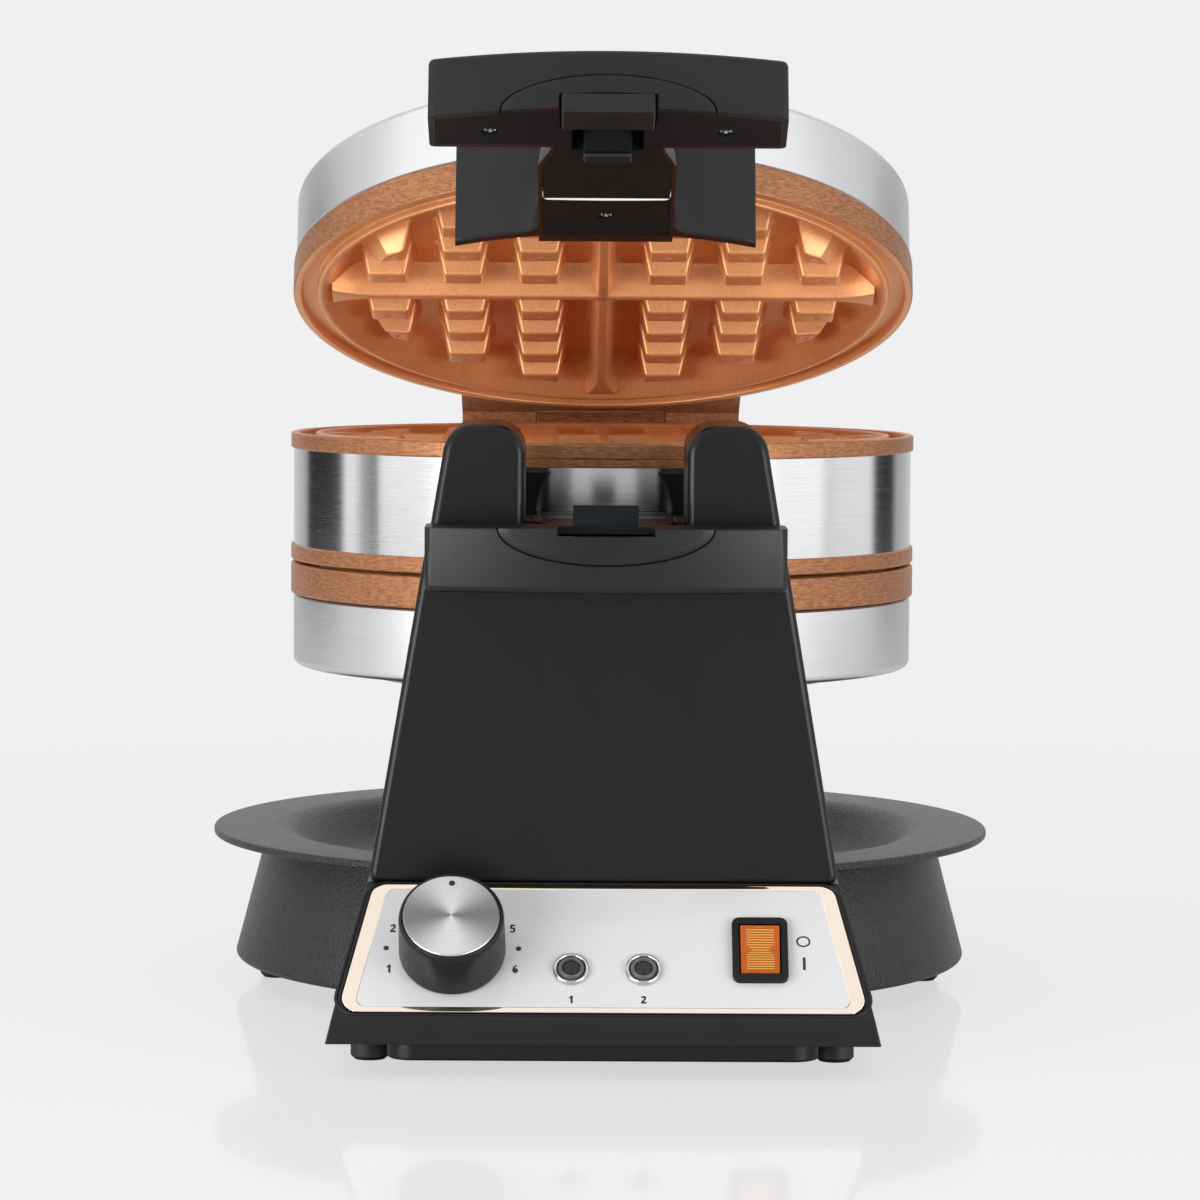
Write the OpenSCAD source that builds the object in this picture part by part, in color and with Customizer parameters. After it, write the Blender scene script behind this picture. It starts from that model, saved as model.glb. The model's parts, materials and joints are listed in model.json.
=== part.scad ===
// Rotating double waffle maker on a round base.
// Millimetres, +Z up, the table at z = 0 and the middle of the outline at x = y = 0.
// The head is drawn about its turning axis, which runs front to back along Y.

/* [Head] */
// Outer radius of the brushed band and of the lid caps
band_r = 105.8; // [98:0.1:112]
// Gap between the head, turned on edge, and the drip tray
head_gap = 6.6; // [4:0.2:20]
// How far the coated rims stand out past the band
rim_overhang = 0.9; // [0.4:0.1:2]
// Height of the middle section between its two rim faces
mid_height = 43.4; // [41:0.2:48]
// Height of the coated rim on each side of the middle section
rim_height = 5.4; // [4:0.1:7]
// Wall of the brushed band
band_wall = 1.2; // [0.8:0.1:2]
// Gap between closed plates
plate_gap = 1; // [0.4:0.1:1.6]
// Height of the coated ring of each lid
ring_height = 10.5; // [9:0.1:13]
// Height of the straight side of each steel cap
cap_height = 24; // [18:0.5:30]
// Width of the flat ring round the dome
dome_edge = 9.8; // [5:0.2:25]
// Radius of the shoulder between the cap's wall and its end
cap_round = 2.6; // [1:0.2:5]
// Rise of the domed end of each cap
dome_rise = 12; // [6:0.5:16]
// Wall of each steel cap
cap_wall = 1.2; // [0.8:0.1:2]
// Seam between a lid's ring and its cap
cap_seam = 0.5; // [0.3:0.1:0.9]

/* [Waffle plates] */
// Distance of the round cavity's lip inside the band's outer face
cavity_edge = 9.3; // [8.8:0.1:15]
// Depth of the cooking cavity
cavity_depth = 12; // [9:0.5:13]
// How far the cavity wall leans in on its way down
cavity_lean = 11; // [6:0.5:14]
// Thickness of the plate under the cavity
plate_wall = 3; // [2.5:0.1:4]
// Width of the overflow channel round the cavity
channel_w = 5.4; // [3:0.1:5.6]
// Depth of the overflow channel
channel_depth = 2.6; // [1:0.1:3.5]
// Flat land between the cavity and the overflow channel
land_w = 1.8; // [1:0.1:2.4]
// Distance between stud columns, side to side
column_pitch = 26; // [24:0.5:28]
// Distance from the dividing ridge to the first stud column
first_column = 22; // [20:0.5:24]
// Distance between stud rows, front to back
row_pitch = 20.5; // [19:0.5:23]
// Distance from the dividing ridge to the first stud row
first_row = 17; // [15:0.5:19]
// Stud columns on each side of the middle ridge
columns = 3; // [2:1:3]
// Stud rows on each side of the middle ridge
rows = 4; // [2:1:4]
// Length of a stud's tip, side to side
stud_tip_l = 12.6; // [9:0.2:14]
// Width of a stud's tip, front to back
stud_tip_w = 8.4; // [6:0.2:10]
// How much a stud widens on each side down to its root
stud_flare = 2.7; // [1.5:0.1:3]
// Depth of the stud tips below the lip
stud_sink = 0.6; // [0.4:0.1:2]
// Width of the crest of the dividing ridges
ridge_crest = 3.6; // [2:0.2:5]

/* [Lid hinge] */
// Distance of the hinge pins behind the band
hinge_back = 12.2; // [10.2:0.1:18]
// Height of each hinge pin above or below the turning axis
hinge_rise = 19; // [17:0.5:20]
// Angle between the top lid and its closed place
lid_angle = 22.1; // [10:0.5:40]
// Outer radius of the hinge knuckles
knuckle_r = 6; // [5:0.2:7]
// Radius of the hinge pins
hinge_pin_r = 2.5; // [2:0.1:3]
// Width of the middle knuckle
knuckle_w = 47; // [40:1:52]
// Full width across both ears of a lid
ear_span = 102; // [90:1:106]
// Side gap between knuckle and ears
knuckle_gap = 0.5; // [0.3:0.1:1]

/* [Handles] */
// Depth of the handle bars at their middle
bar_depth = 30; // [27:0.5:38]
// Gap between the handle bars and the tower's front
bar_gap = 3; // [2:0.1:6]
// Width of the handle bars
bar_w = 109.4; // [100:0.2:120]
// Height of each handle bar
bar_h = 19.6; // [16:0.2:22]
// Radius of the round neck, which turns in the fork
neck_r = 21.5; // [19:0.1:22]
// Radius of the neck where it meets the bar
neck_waist_r = 17.5; // [15:0.1:18.5]
// Length of the taper between bar and neck
neck_taper = 14; // [8:0.5:15]
// How far the curved apron stands out past the band
apron_out = 9; // [8.2:0.1:11]
// Wall of the apron
apron_wall = 4; // [3:0.1:4.2]
// Width of the apron
apron_w = 96; // [80:1:100]
// Height of the apron's mounting block against the lid
apron_block = 17; // [12:0.5:22]
// Height of the apron's lower edge above the mating face
apron_low = 1.5; // [0.6:0.1:3]
// Height of the inlaid front piece at its middle
inlay_h = 10.8; // [8:0.2:13]
// Width of the inlaid front piece
inlay_w = 65; // [50:1:70]
// Thickness of the inlaid front piece
inlay_t = 2.6; // [2:0.1:3.2]
// Groove round the inlaid front piece
inlay_groove = 0.4; // [0.3:0.1:0.8]
// Rounding of the handle bars' edges
bar_round = 2; // [1:0.2:3]

/* [Latch] */
// Width of the release button
button_w = 28.4; // [22:0.2:32]
// Height of the button's front above the mating face
button_h = 4.4; // [3.5:0.1:6]
// How far the button reaches past the mating face
button_drop = 2; // [1:0.1:3]
// Depth of the button from its front face
button_depth = 12.5; // [9:0.5:14]
// How far the button stands out of the front face
button_proud = 1.6; // [1:0.1:3]
// Travel of the button
button_travel = 3; // [2:0.1:3.4]
// Width of the catch
catch_w = 15; // [10:0.5:18]
// Length of the catch below the mating face
catch_drop = 6; // [5:0.1:8]
// Thickness of the catch
catch_t = 4; // [3:0.1:5]
// Width of the keeper tab on the other handle
tab_w = 20; // [14:0.5:21]
// Height of the keeper tab
tab_h = 6; // [4:0.1:7]
// Thickness of the keeper tab
tab_t = 4; // [3:0.1:5]

/* [Fork tower] */
// Gap between the tower's foot and the drip tray
tower_gap = 4; // [2:0.5:8]
// How much further back the tower's top reaches than its foot
tower_lean = 15; // [8:0.5:17]
// Depth of the tower at its foot
tower_depth = 43; // [40:0.5:50]
// Width of the tower at its foot
tower_foot_w = 145; // [130:1:150]
// Width of the tower at its top
tower_top_w = 97.6; // [86:1:104]
// Height of the fork's top above the turning axis
fork_rise = 30; // [24:1:36]
// Wall of the liner between the fork's arms
saddle_wall = 3; // [2:0.1:4]
// Rounding of the top of each arm
arm_round = 9; // [5:0.5:10]
// Rounding of the tower's edges
tower_round = 2.4; // [1:0.2:3]
// Clearance of the neck in its saddle
neck_clear = 0.3; // [0.2:0.05:0.5]

/* [Base] */
// How far the round base reaches out past the band
base_out = 9.2; // [6:0.2:12]
// How much wider the round base is at its foot than at its top
base_flare = 10.4; // [5:0.2:13]
// Height of the round base's lower edge
base_low = 10.7; // [9:0.1:12]
// Height of the round base's foot
round_low = 8.4; // [7:0.1:10]
// Height of the round base's upper edge
base_top = 50.5; // [46:0.2:52]
// Height of the joint between base and tower above the round base
joint_rise = 5.2; // [4:0.1:8]
// Width of the front housing at its lower edge
front_foot_w = 168; // [158:1:172]
// How far the front housing's lip stands out past the tower
lip_out = 33; // [31:0.5:38]
// Height of the front housing's lip
lip_h = 6.6; // [5:0.1:10]
// How far the foot of the slope lies behind the front
lip_back = 1.1; // [0.6:0.1:2.6]
// How far the rear housing stands out past the bearing post
rear_out = 4; // [1:0.5:12]
// Width of the rear housing
rear_w = 108; // [96:1:120]
// Radius of the front and rear feet
foot_r = 6; // [5:0.5:8]

/* [Rear bearing] */
// Gap between the hinge knuckles and the bearing post
post_gap = 14; // [13:0.5:18]
// Thickness of the bearing post, front to back
post_t = 24; // [18:1:26]
// Width of the post at its foot
post_foot_w = 84; // [70:1:100]
// Radius of the hollow trunnion
trunnion_r = 7; // [6:0.5:9]
// Radius of the hole through the trunnion
trunnion_bore_r = 4; // [3:0.5:5]
// Running clearance round the trunnion
trunnion_clear = 0.05; // [0.02:0.01:0.1]
// Wall of the bearing bush
bush_wall = 3; // [2:0.5:4]

/* [Drip tray] */
// Width of the tray's brim round the dish
brim_w = 25; // [18:0.5:30]
// Width of the round base's rim outside the dish
base_rim = 7; // [5:0.5:15]
// Width of the dish's leaning wall
dish_lean = 16; // [8:0.5:24]
// Depth of the dish
dish_depth = 11.5; // [10:0.5:16]
// Thickness of the tray
tray_t = 2.6; // [2:0.1:3]

/* [Controls] */
// Inclination of the control panel from the table
panel_tilt = 47.6; // [44:0.2:52]
// Width of the housing's edge above and below the panel
panel_edge = 1.2; // [0.8:0.1:4]
// Width of the panel plate at its upper edge
panel_top_w = 143; // [130:1:144]
// Width of the panel plate at its lower edge
panel_low_w = 158; // [145:1:160]
// Rounding of the panel's corners
panel_round = 5; // [5:0.5:10]
// Width of the polished border round the panel
trim_w = 3.2; // [2:0.2:4.5]
// Thickness of the panel plate
panel_t = 1.2; // [0.8:0.1:2]
// Radius of the browning knob
knob_r = 16.3; // [14:0.1:19]
// Height of the browning knob
knob_h = 19; // [13:0.5:22]
// Distance of the knob to the left of the middle
knob_x = 46; // [40:1:50]
// How far the knob lies below the panel's middle
knob_drop = 1.5; // [0:0.1:4]
// Width of the knob's rim round its metal cap
knob_rim = 1.5; // [1:0.1:4]
// Radius of the control shaft
shaft_r = 3; // [2.5:0.1:4]
// Distance of the rocker switch to the right of the middle
switch_x = 47.7; // [42:0.5:52]
// How far the switch lies below the panel's middle
switch_drop = 1; // [0:0.1:4]
// Width of the switch frame
switch_w = 17; // [15:0.5:20]
// Length of the switch frame
switch_l = 23; // [21:0.5:27]
// Width of the switch frame on each side of the rocker
frame_side = 2.5; // [2.2:0.1:4]
// Width of the switch frame above and below the rocker
frame_end = 3.2; // [2.6:0.1:5]
// Angle of the rocker to each side of level
rocker_angle = 8; // [4:0.5:10]
// Distance between the lamps
lamp_pitch = 22; // [18:0.5:28]
// Distance of the lamps' middle to the right of the panel's middle
lamp_x = 1.2; // [-6:0.2:6]
// Distance of the lamps below the panel's middle
lamp_drop = 8; // [2:0.2:10]
// Radius of a lamp's bezel
lamp_r = 5.6; // [4:0.1:6.5]

/* [Hidden] */
$fn = 96;

seat_gap = 0.3;
over = 1;

rim_r = band_r + rim_overhang;
dome_r = band_r - dome_edge;
cavity_r = band_r - cavity_edge;
hinge_y = band_r + hinge_back;
apron_r = band_r + apron_out;
mid_half = mid_height / 2;
ring_low = mid_half + plate_gap;
ring_high = ring_low + ring_height;
cap_low = ring_high + cap_seam;
cap_high = cap_low + cap_height;
plate_back = cavity_depth + plate_wall;

base_top_r = band_r + base_out;
base_foot_r = base_top_r + base_flare;
dish_r = base_top_r - base_rim;
dish_floor_r = dish_r - dish_lean;
tray_r = dish_r + brim_w;
tray_rest = base_top + seat_gap;
axis_z = tray_rest + tray_t + head_gap + rim_r;

tower_back_low = tray_r + tower_gap;
tower_back_high = tower_back_low - tower_lean;
tower_front = tower_back_low + tower_depth;
tower_joint = base_top + joint_rise;
fork_half_gap = neck_r + neck_clear + saddle_wall;
bar_back = tower_front + bar_gap;
bar_front_r = bar_back + bar_depth;
front_reach = tower_front + lip_out;
post_front = hinge_y + knuckle_r + post_gap;
post_back = post_front + post_t;
back_reach = post_back + rear_out;

// Panel frame: middle of the panel's face and its outward direction
lip_crease = 2;
panel_rise = tower_joint - base_low - lip_h - lip_crease;
panel_run = panel_rise / tan(panel_tilt);
panel_mid_z = base_low + lip_h + lip_crease + panel_rise / 2;
panel_mid_y = -(front_reach - lip_back) + panel_run / 2;
panel_sink = 0.8;
panel_face = panel_t - panel_sink;
panel_len = panel_rise / sin(panel_tilt) - 2 * panel_edge;
rocker_w = switch_w - 2 * frame_side;
rocker_l = switch_l - 2 * frame_end;

// The knob's front edge is the foremost point, the rear housing the hindmost,
// and the middle of the outline between them lies at y = 0
knob_gap = 0.4;
knob_bevel = 1;
knob_edge = knob_r - knob_bevel;
knob_cap_r = knob_r - knob_rim;
knob_reach = -panel_mid_y + sin(panel_tilt) * (panel_face + knob_gap + knob_h) + cos(panel_tilt) * (knob_edge + knob_drop);
head_y = (knob_reach - back_reach) / 2;

tower_top = axis_z + fork_rise;
saddle_r = neck_r + neck_clear;
saddle_front = bar_back - neck_taper - 1.5;
saddle_back = tower_back_low - 6;
arm_root = 24;
arm_lap = 16;
fork_lip_t = 2.6;
plate_h = 3;
screw_x = 36;
screw_in = 11;
screw_out = 13.2;
screw_spots = [[-screw_x, -bar_back - screw_in], [screw_x, -bar_back - screw_in], [0, -apron_r - screw_out]];
wire_r = 0.8;
wire_out = 27.2;
wire_y = -apron_r - wire_out;
wire_half = neck_r - 1.6;

cover_low = 4.5;
cover_r = base_foot_r - 27;
cover_lap = 30;
cover_round = 8;
foot_edge = 1.2;
foot_inset = 12;
foot_x = front_foot_w / 2 - foot_inset;
side_foot_x = base_foot_r - 14.4;
rear_foot_x = rear_w / 2 - 14;
front_foot_y = -front_reach + 40;
rear_foot_y = back_reach - 16;
foot_spots = [
    [-foot_x, front_foot_y, base_low], [foot_x, front_foot_y, base_low],
    [-side_foot_x, -3, round_low], [side_foot_x, -3, round_low],
    [-rear_foot_x, rear_foot_y, base_low], [rear_foot_x, rear_foot_y, base_low]
];
bush_r = trunnion_r + trunnion_clear + bush_wall;
rear_top = base_top - 3;
rear_round = 14;
rear_root = base_top_r - 35;

heater_r = 3;
heater_ring_r = 62;
apron_inner_r = apron_r - apron_wall;
lip_drop = 2.6;
lip_half = 36;
yoke_wall = 3.8;
yoke_reach = 32;
yoke_half = mid_half - rim_height - lip_drop - 1.4;
frame_half = hinge_rise - knuckle_r - 1;
frame_reach = 30;
frame_t = 8;
boss_wall = 4.4;
mating_gap = 0.3;
latch_gap = 0.4;
slot_half = button_w / 2 + latch_gap;
button_back = bar_front_r - button_depth;
catch_front = bar_back + 5.4;
catch_lip = 1.8;
tab_back = catch_front + 1;
stem_low = tab_h + 0.8;
stem_high = stem_low + 2.4;
riser_front = button_back + 3;
channel_back = catch_front - catch_t - button_travel - latch_gap;
thermostat_r = 9;
screw_r = 2.6;

module at_head() {
    translate([0, head_y, axis_z]) children();
}

module at_floor() {
    translate([0, head_y, 0]) children();
}

// Turns the top lid's pieces up about their hinge pin
module lid_open() {
    at_head()
        translate([0, hinge_y, hinge_rise]) rotate([-lid_angle, 0, 0])
            translate([0, -hinge_y, -hinge_rise]) children();
}

// Turns a piece drawn for the top side over to the bottom side
module underside() {
    mirror([0, 0, 1]) children();
}

// Stands a shape drawn in the x-y plane on the inclined panel
module on_panel(x = 0, up = 0) {
    at_floor()
        translate([0, panel_mid_y, panel_mid_z]) rotate([panel_tilt, 0, 0])
            translate([x, up, 0]) children();
}

// A profile in the y-z plane, drawn out to both sides of x = 0
module side_extrude(width) {
    rotate([90, 0, 90]) linear_extrude(width, center = true) children();
}

// A profile in the x-z plane, drawn out from y = from to y = to
module front_extrude(from, to) {
    translate([0, to, 0]) rotate([90, 0, 0]) linear_extrude(to - from) children();
}

// Round bar along x
module cross_bar(r, length) {
    rotate([0, 90, 0]) cylinder(r = r, h = length, center = true);
}

// Round bar along y from y = from to y = to
module long_bar(r, from, to) {
    translate([0, from, 0]) rotate([-90, 0, 0]) cylinder(r = r, h = to - from);
}

module rounded_plate(half_low, half_high, length, round) {
    hull() {
        translate([-half_low + round, -length / 2 + round]) circle(round, $fn = 32);
        translate([half_low - round, -length / 2 + round]) circle(round, $fn = 32);
        translate([-half_high + round, length / 2 - round]) circle(round, $fn = 32);
        translate([half_high - round, length / 2 - round]) circle(round, $fn = 32);
    }
}

// ---------- waffle plates ----------

// Rows of tapered bars, front to back, seen as a profile across x
module stud_columns() {
    bottom = -cavity_depth - 0.5;
    top = -stud_sink;
    spots = [for (side = [-1, 1]) for (i = [0:columns - 1]) side * (first_column + i * column_pitch)];
    for (x = spots)
        stud_profile(x, stud_tip_l / 2, bottom, top);
}

module stud_rows() {
    bottom = -cavity_depth - 0.5;
    top = -stud_sink;
    spots = [for (side = [-1, 1]) for (i = [0:rows - 1]) side * (first_row + i * row_pitch)];
    for (y = spots)
        stud_profile(y, stud_tip_w / 2, bottom, top);
}

module stud_profile(at, half, bottom, top) {
    foot = half + stud_flare;
    polygon([[at - foot, bottom], [at + foot, bottom], [at + half, top], [at - half, top]]);
}

module ridge_profile() {
    stud_profile(0, ridge_crest / 2, -cavity_depth - 0.5, -stud_sink);
}

// The cavity's inside as a solid: a bowl with a leaning wall
module cavity_form(extra = 0) {
    rotate_extrude()
        polygon([
            [0, -cavity_depth - extra], [cavity_r - cavity_lean + extra, -cavity_depth - extra],
            [cavity_r + extra, 0], [0, 0]
        ]);
}

module studs_and_ridges() {
    intersection() {
        union() {
            intersection() {
                front_extrude(-cavity_r, cavity_r) stud_columns();
                side_extrude(2 * cavity_r) stud_rows();
            }
            front_extrude(-cavity_r, cavity_r) ridge_profile();
            side_extrude(2 * cavity_r) ridge_profile();
        }
        cavity_form(0.4);
    }
}

// One plate with its mating face at z = 0 and its cavity opening upwards
module grid_plate(edge_height, step_r, step_height) {
    union() {
        rotate_extrude()
            polygon([
                [0, -cavity_depth], [cavity_r - cavity_lean, -cavity_depth],
                [cavity_r, 0], [cavity_r + land_w, 0],
                [cavity_r + land_w, -channel_depth],
                [cavity_r + land_w + channel_w, -channel_depth],
                [cavity_r + land_w + channel_w, 0], [rim_r, 0],
                [rim_r, -edge_height], [step_r, -edge_height],
                [step_r, -edge_height - step_height],
                [cavity_r, -edge_height - step_height],
                [cavity_r - cavity_lean, -plate_back], [0, -plate_back]
            ]);
        studs_and_ridges();
    }
}

module heater_ring() {
    difference() {
        rotate_extrude() translate([heater_ring_r, 0]) circle(heater_r, $fn = 32);
        translate([0, heater_ring_r, 0]) cube([14, 3 * heater_r, 3 * heater_r], center = true);
    }
}

// ---------- middle section ----------

module middle_band() {
    half = mid_half - rim_height;
    color("silver") at_head()
        difference() {
            cylinder(r = band_r, h = 2 * half, center = true);
            cylinder(r = band_r - band_wall, h = 2 * half + over, center = true);
            long_bar(trunnion_r + 0.4, band_r - 12, band_r + over);
        }
}

// Plate of the middle section, with the thick front lip and the hinge knuckle
module mid_plate() {
    translate([0, 0, mid_half])
        grid_plate(rim_height, band_r - band_wall - seat_gap, 3);
    front_lip();
    hinge_knuckle();
}

module front_lip() {
    intersection() {
        difference() {
            translate([0, 0, mid_half - rim_height - lip_drop]) cylinder(r = rim_r, h = lip_drop + over);
            cylinder(r = band_r + 0.15, h = 4 * mid_half, center = true);
        }
        translate([-lip_half, -rim_r - over, 0]) cube([2 * lip_half, rim_r, mid_half]);
    }
}

module hinge_knuckle() {
    difference() {
        intersection() {
            side_extrude(knuckle_w)
                union() {
                    translate([hinge_y, hinge_rise]) circle(knuckle_r);
                    translate([band_r - 6, mid_half - rim_height])
                        square([hinge_y - band_r + 6, rim_height]);
                }
            difference() {
                cylinder(r = hinge_y + 2 * knuckle_r, h = 4 * mid_half, center = true);
                cylinder(r = rim_r - 2, h = 8 * mid_half, center = true);
            }
        }
        translate([0, hinge_y, hinge_rise]) cross_bar(hinge_pin_r + 0.05, knuckle_w + over);
    }
}

module upper_plate() {
    color("peru") at_head() mid_plate();
}

module lower_plate() {
    color("peru") at_head() underside() mid_plate();
}

module mid_heater() {
    translate([0, 0, mid_half - plate_back - heater_r]) heater_ring();
}

module upper_heater() {
    color("dimgray") at_head() mid_heater();
}

module lower_heater() {
    color("dimgray") at_head() underside() mid_heater();
}

// Curved plate on the band with a round opening for the neck
module front_yoke() {
    inner = band_r + 0.4;
    color([0.1, 0.1, 0.1]) at_head()
        difference() {
            intersection() {
                difference() {
                    cylinder(r = inner + yoke_wall, h = 2 * yoke_half, center = true);
                    cylinder(r = inner, h = 3 * yoke_half, center = true);
                }
                translate([0, -band_r, 0]) cube([2 * yoke_reach, band_r, 4 * yoke_half], center = true);
            }
            long_bar(neck_r + 0.5, -apron_r - over, -band_r / 2);
        }
}

// Block behind the band that carries the trunnion
module rear_frame() {
    color([0.15, 0.15, 0.15]) at_head()
        difference() {
            union() {
                intersection() {
                    translate([0, band_r, 0]) cube([2 * frame_reach, band_r, 4 * frame_half], center = true);
                    difference() {
                        cylinder(r = band_r + frame_t, h = 2 * frame_half, center = true);
                        cylinder(r = band_r + seat_gap, h = 3 * frame_half, center = true);
                    }
                }
                long_bar(trunnion_r + boss_wall, band_r + 2, post_front - 6);
            }
            long_bar(trunnion_r, band_r / 2, post_front);
        }
}

module trunnion() {
    color("gray") at_head()
        difference() {
            long_bar(trunnion_r, band_r - 10, post_back + 3);
            long_bar(trunnion_bore_r, band_r - 11, post_back + 4);
        }
}

module trunnion_collar() {
    color("gray") at_head()
        difference() {
            long_bar(trunnion_r + 3, post_back + 0.4, post_back + 3);
            long_bar(trunnion_r, post_back, post_back + 4);
        }
}

module hinge_pin() {
    translate([0, hinge_y, hinge_rise]) cross_bar(hinge_pin_r, ear_span);
}

module top_hinge_pin() {
    color("lightgray") at_head() hinge_pin();
}

module bottom_hinge_pin() {
    color("lightgray") at_head() underside() hinge_pin();
}

// ---------- lids ----------

// Plate of a lid, with its ring and the two hinge ears
module lid_plate() {
    translate([0, 0, ring_low]) mirror([0, 0, 1])
        grid_plate(ring_height, band_r - cap_wall - seat_gap, 4);
    lid_ears();
}

// Flange between the ears, in front of the hinge pin
module lid_flange() {
    difference() {
        side_extrude(ear_span - 4)
            polygon([
                [band_r - 18, ring_low + 0.4], [hinge_y - knuckle_r - 1, ring_low + 0.4],
                [hinge_y - knuckle_r + 0.6, ring_low + 3.4], [hinge_y - knuckle_r + 0.6, ring_high - 1.2],
                [band_r - 18, ring_high - 1.2]
            ]);
        cylinder(r = rim_r - 2, h = 4 * ring_high, center = true);
    }
}

module lid_ears() {
    ear_w = (ear_span - knuckle_w) / 2 - knuckle_gap;
    lid_flange();
    for (side = [-1, 1])
        difference() {
            translate([side * (ear_span - ear_w) / 2, 0, 0])
                side_extrude(ear_w)
                    union() {
                        translate([hinge_y, hinge_rise]) circle(knuckle_r);
                        polygon([
                            [band_r - 18, ring_low + 0.2], [hinge_y - 5.6, ring_low + 0.2],
                            [hinge_y, hinge_rise], [hinge_y + knuckle_r - 0.4, hinge_rise + 2],
                            [hinge_y + 1, ring_high - 0.6], [band_r - 18, ring_high - 0.6]
                        ]);
                    }
            translate([side * (ear_span - ear_w) / 2, hinge_y, hinge_rise])
                cross_bar(hinge_pin_r + 0.05, ear_w + over);
            cylinder(r = rim_r - 2, h = 4 * ring_high, center = true);
        }
}

// Pressed steel cap: a straight wall, a small shoulder, a flat ring and a shallow dome
function cap_outline(inset) = let (
        r = band_r - inset,
        shoulder = cap_round - inset / 2,
        start = dome_r - inset / 2,
        bow = (start * start + dome_rise * dome_rise) / (2 * dome_rise),
        sweep = asin(start / bow),
        crown = cap_high - inset
    ) concat(
        [[r, cap_low]],
        [for (a = [0:15:90]) [r - shoulder + shoulder * cos(a), crown - shoulder + shoulder * sin(a)]],
        [for (i = [0:11]) let (a = sweep * (1 - i / 12)) [bow * sin(a), crown + dome_rise - bow + bow * cos(a)]],
        [[0, crown + dome_rise]]
    );

function reversed(list) = [for (i = [len(list) - 1:-1:0]) list[i]];

module lid_cap() {
    rotate_extrude() polygon(concat(cap_outline(0), reversed(cap_outline(cap_wall))));
}

module lid_heater() {
    translate([0, 0, ring_low + plate_back + heater_r]) heater_ring();
}

// ---------- handles ----------

// Front view of the inlay: half an ellipse above the mating face
module inlay_outline(grow = 0) {
    polygon([for (a = [0:10:180]) [(inlay_w / 2 + grow) * cos(a), (inlay_h + grow) * sin(a)]]);
}

// Neck between bar and lid: the upper half of a turned journal
module neck() {
    from = bar_back + 4;
    intersection() {
        rotate([90, 0, 0])
            rotate_extrude()
                polygon([
                    [0, band_r + 2], [neck_r, band_r + 2],
                    [neck_r, bar_back - neck_taper],
                    [neck_waist_r, bar_back - 1], [neck_waist_r, from], [0, from]
                ]);
        translate([0, -from / 2, neck_r]) cube([4 * neck_r, 2 * from, 2 * neck_r], center = true);
    }
}

// Bar of the handle, with its rounded outer edges
module bar_form() {
    core_low = bar_round / 2;
    minkowski() {
        intersection() {
            translate([0, 0, core_low])
                cylinder(r = bar_front_r - bar_round, h = bar_h - bar_round - core_low, $fn = 240);
            translate([-bar_w / 2 + bar_round, -bar_front_r - over, 0])
                cube([bar_w - 2 * bar_round, bar_front_r + over - bar_back - bar_round, 2 * bar_h]);
        }
        sphere(bar_round, $fn = 20);
    }
}

// Curved apron in front of the lid, with its mounting block at the top
module apron() {
    intersection() {
        union() {
            difference() {
                cylinder(r = apron_r, h = ring_low + apron_block);
                translate([0, 0, -over]) cylinder(r = apron_inner_r, h = ring_low + apron_block + 2 * over);
            }
            difference() {
                translate([0, 0, ring_low + 1]) cylinder(r = apron_r - 1, h = apron_block - 1);
                cylinder(r = rim_r + seat_gap, h = 4 * ring_high);
            }
        }
        translate([-apron_w / 2, -apron_r - over, 0]) cube([apron_w, apron_r / 2, 3 * ring_high]);
    }
}

module bare_handle() {
    bar_form();
    neck();
    apron();
}

// T-shaped recess for the plate that closes the handle at its mating face
module plate_outline(shrink = 0) {
    wall = 2.2 + shrink;
    waist = neck_waist_r - 1.2 - shrink;
    wide = neck_r - 1.3 - shrink;
    intersection() {
        translate([-bar_w / 2 + wall, -bar_front_r])
            square([bar_w - 2 * wall, bar_front_r - bar_back - wall]);
        circle(r = bar_front_r - inlay_t - 0.6 - shrink);
    }
    polygon([
        [-waist, -bar_back - 6], [waist, -bar_back - 6], [waist, -bar_back + 1],
        [wide, -bar_back + neck_taper], [wide, -apron_inner_r - 2.2 - shrink],
        [-wide, -apron_inner_r - 2.2 - shrink], [-wide, -bar_back + neck_taper],
        [-waist, -bar_back + 1]
    ]);
}

module handle_plate() {
    translate([0, 0, mating_gap / 2]) linear_extrude(plate_h - mating_gap / 2) plate_outline(seat_gap / 2);
}

module screw_holes() {
    for (s = screw_spots)
        translate([s[0], s[1], -over]) cylinder(r = screw_r + 0.2, h = plate_h + 2 * over);
}

module handle_screws() {
    for (s = screw_spots)
        translate([s[0], s[1], 0.6]) cylinder(r = screw_r, h = plate_h - 0.6);
}

module wire_clip() {
    translate([0, wire_y, wire_r + mating_gap]) cross_bar(wire_r, 2 * wire_half);
}

module wire_groove() {
    translate([-neck_r - 1, wire_y - wire_r - 0.3, -over])
        cube([2 * neck_r + 2, 2 * wire_r + 0.6, over + 2 * wire_r + mating_gap]);
}

module inlay_form() {
    intersection() {
        difference() {
            cylinder(r = bar_front_r, h = bar_h);
            translate([0, 0, -over]) cylinder(r = bar_front_r - inlay_t, h = bar_h + 2 * over);
        }
        front_extrude(-bar_front_r - over, -bar_back) inlay_outline();
    }
}

module inlay_pocket() {
    intersection() {
        difference() {
            cylinder(r = bar_front_r + 2 * over, h = 2 * bar_h, center = true);
            cylinder(r = bar_front_r - inlay_t - seat_gap, h = 3 * bar_h, center = true);
        }
        front_extrude(-bar_front_r - 3 * over, -bar_back) {
            inlay_outline(inlay_groove);
            translate([-inlay_w / 2 - inlay_groove, -over]) square([inlay_w + 2 * inlay_groove, over + 0.1]);
        }
    }
}

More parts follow.
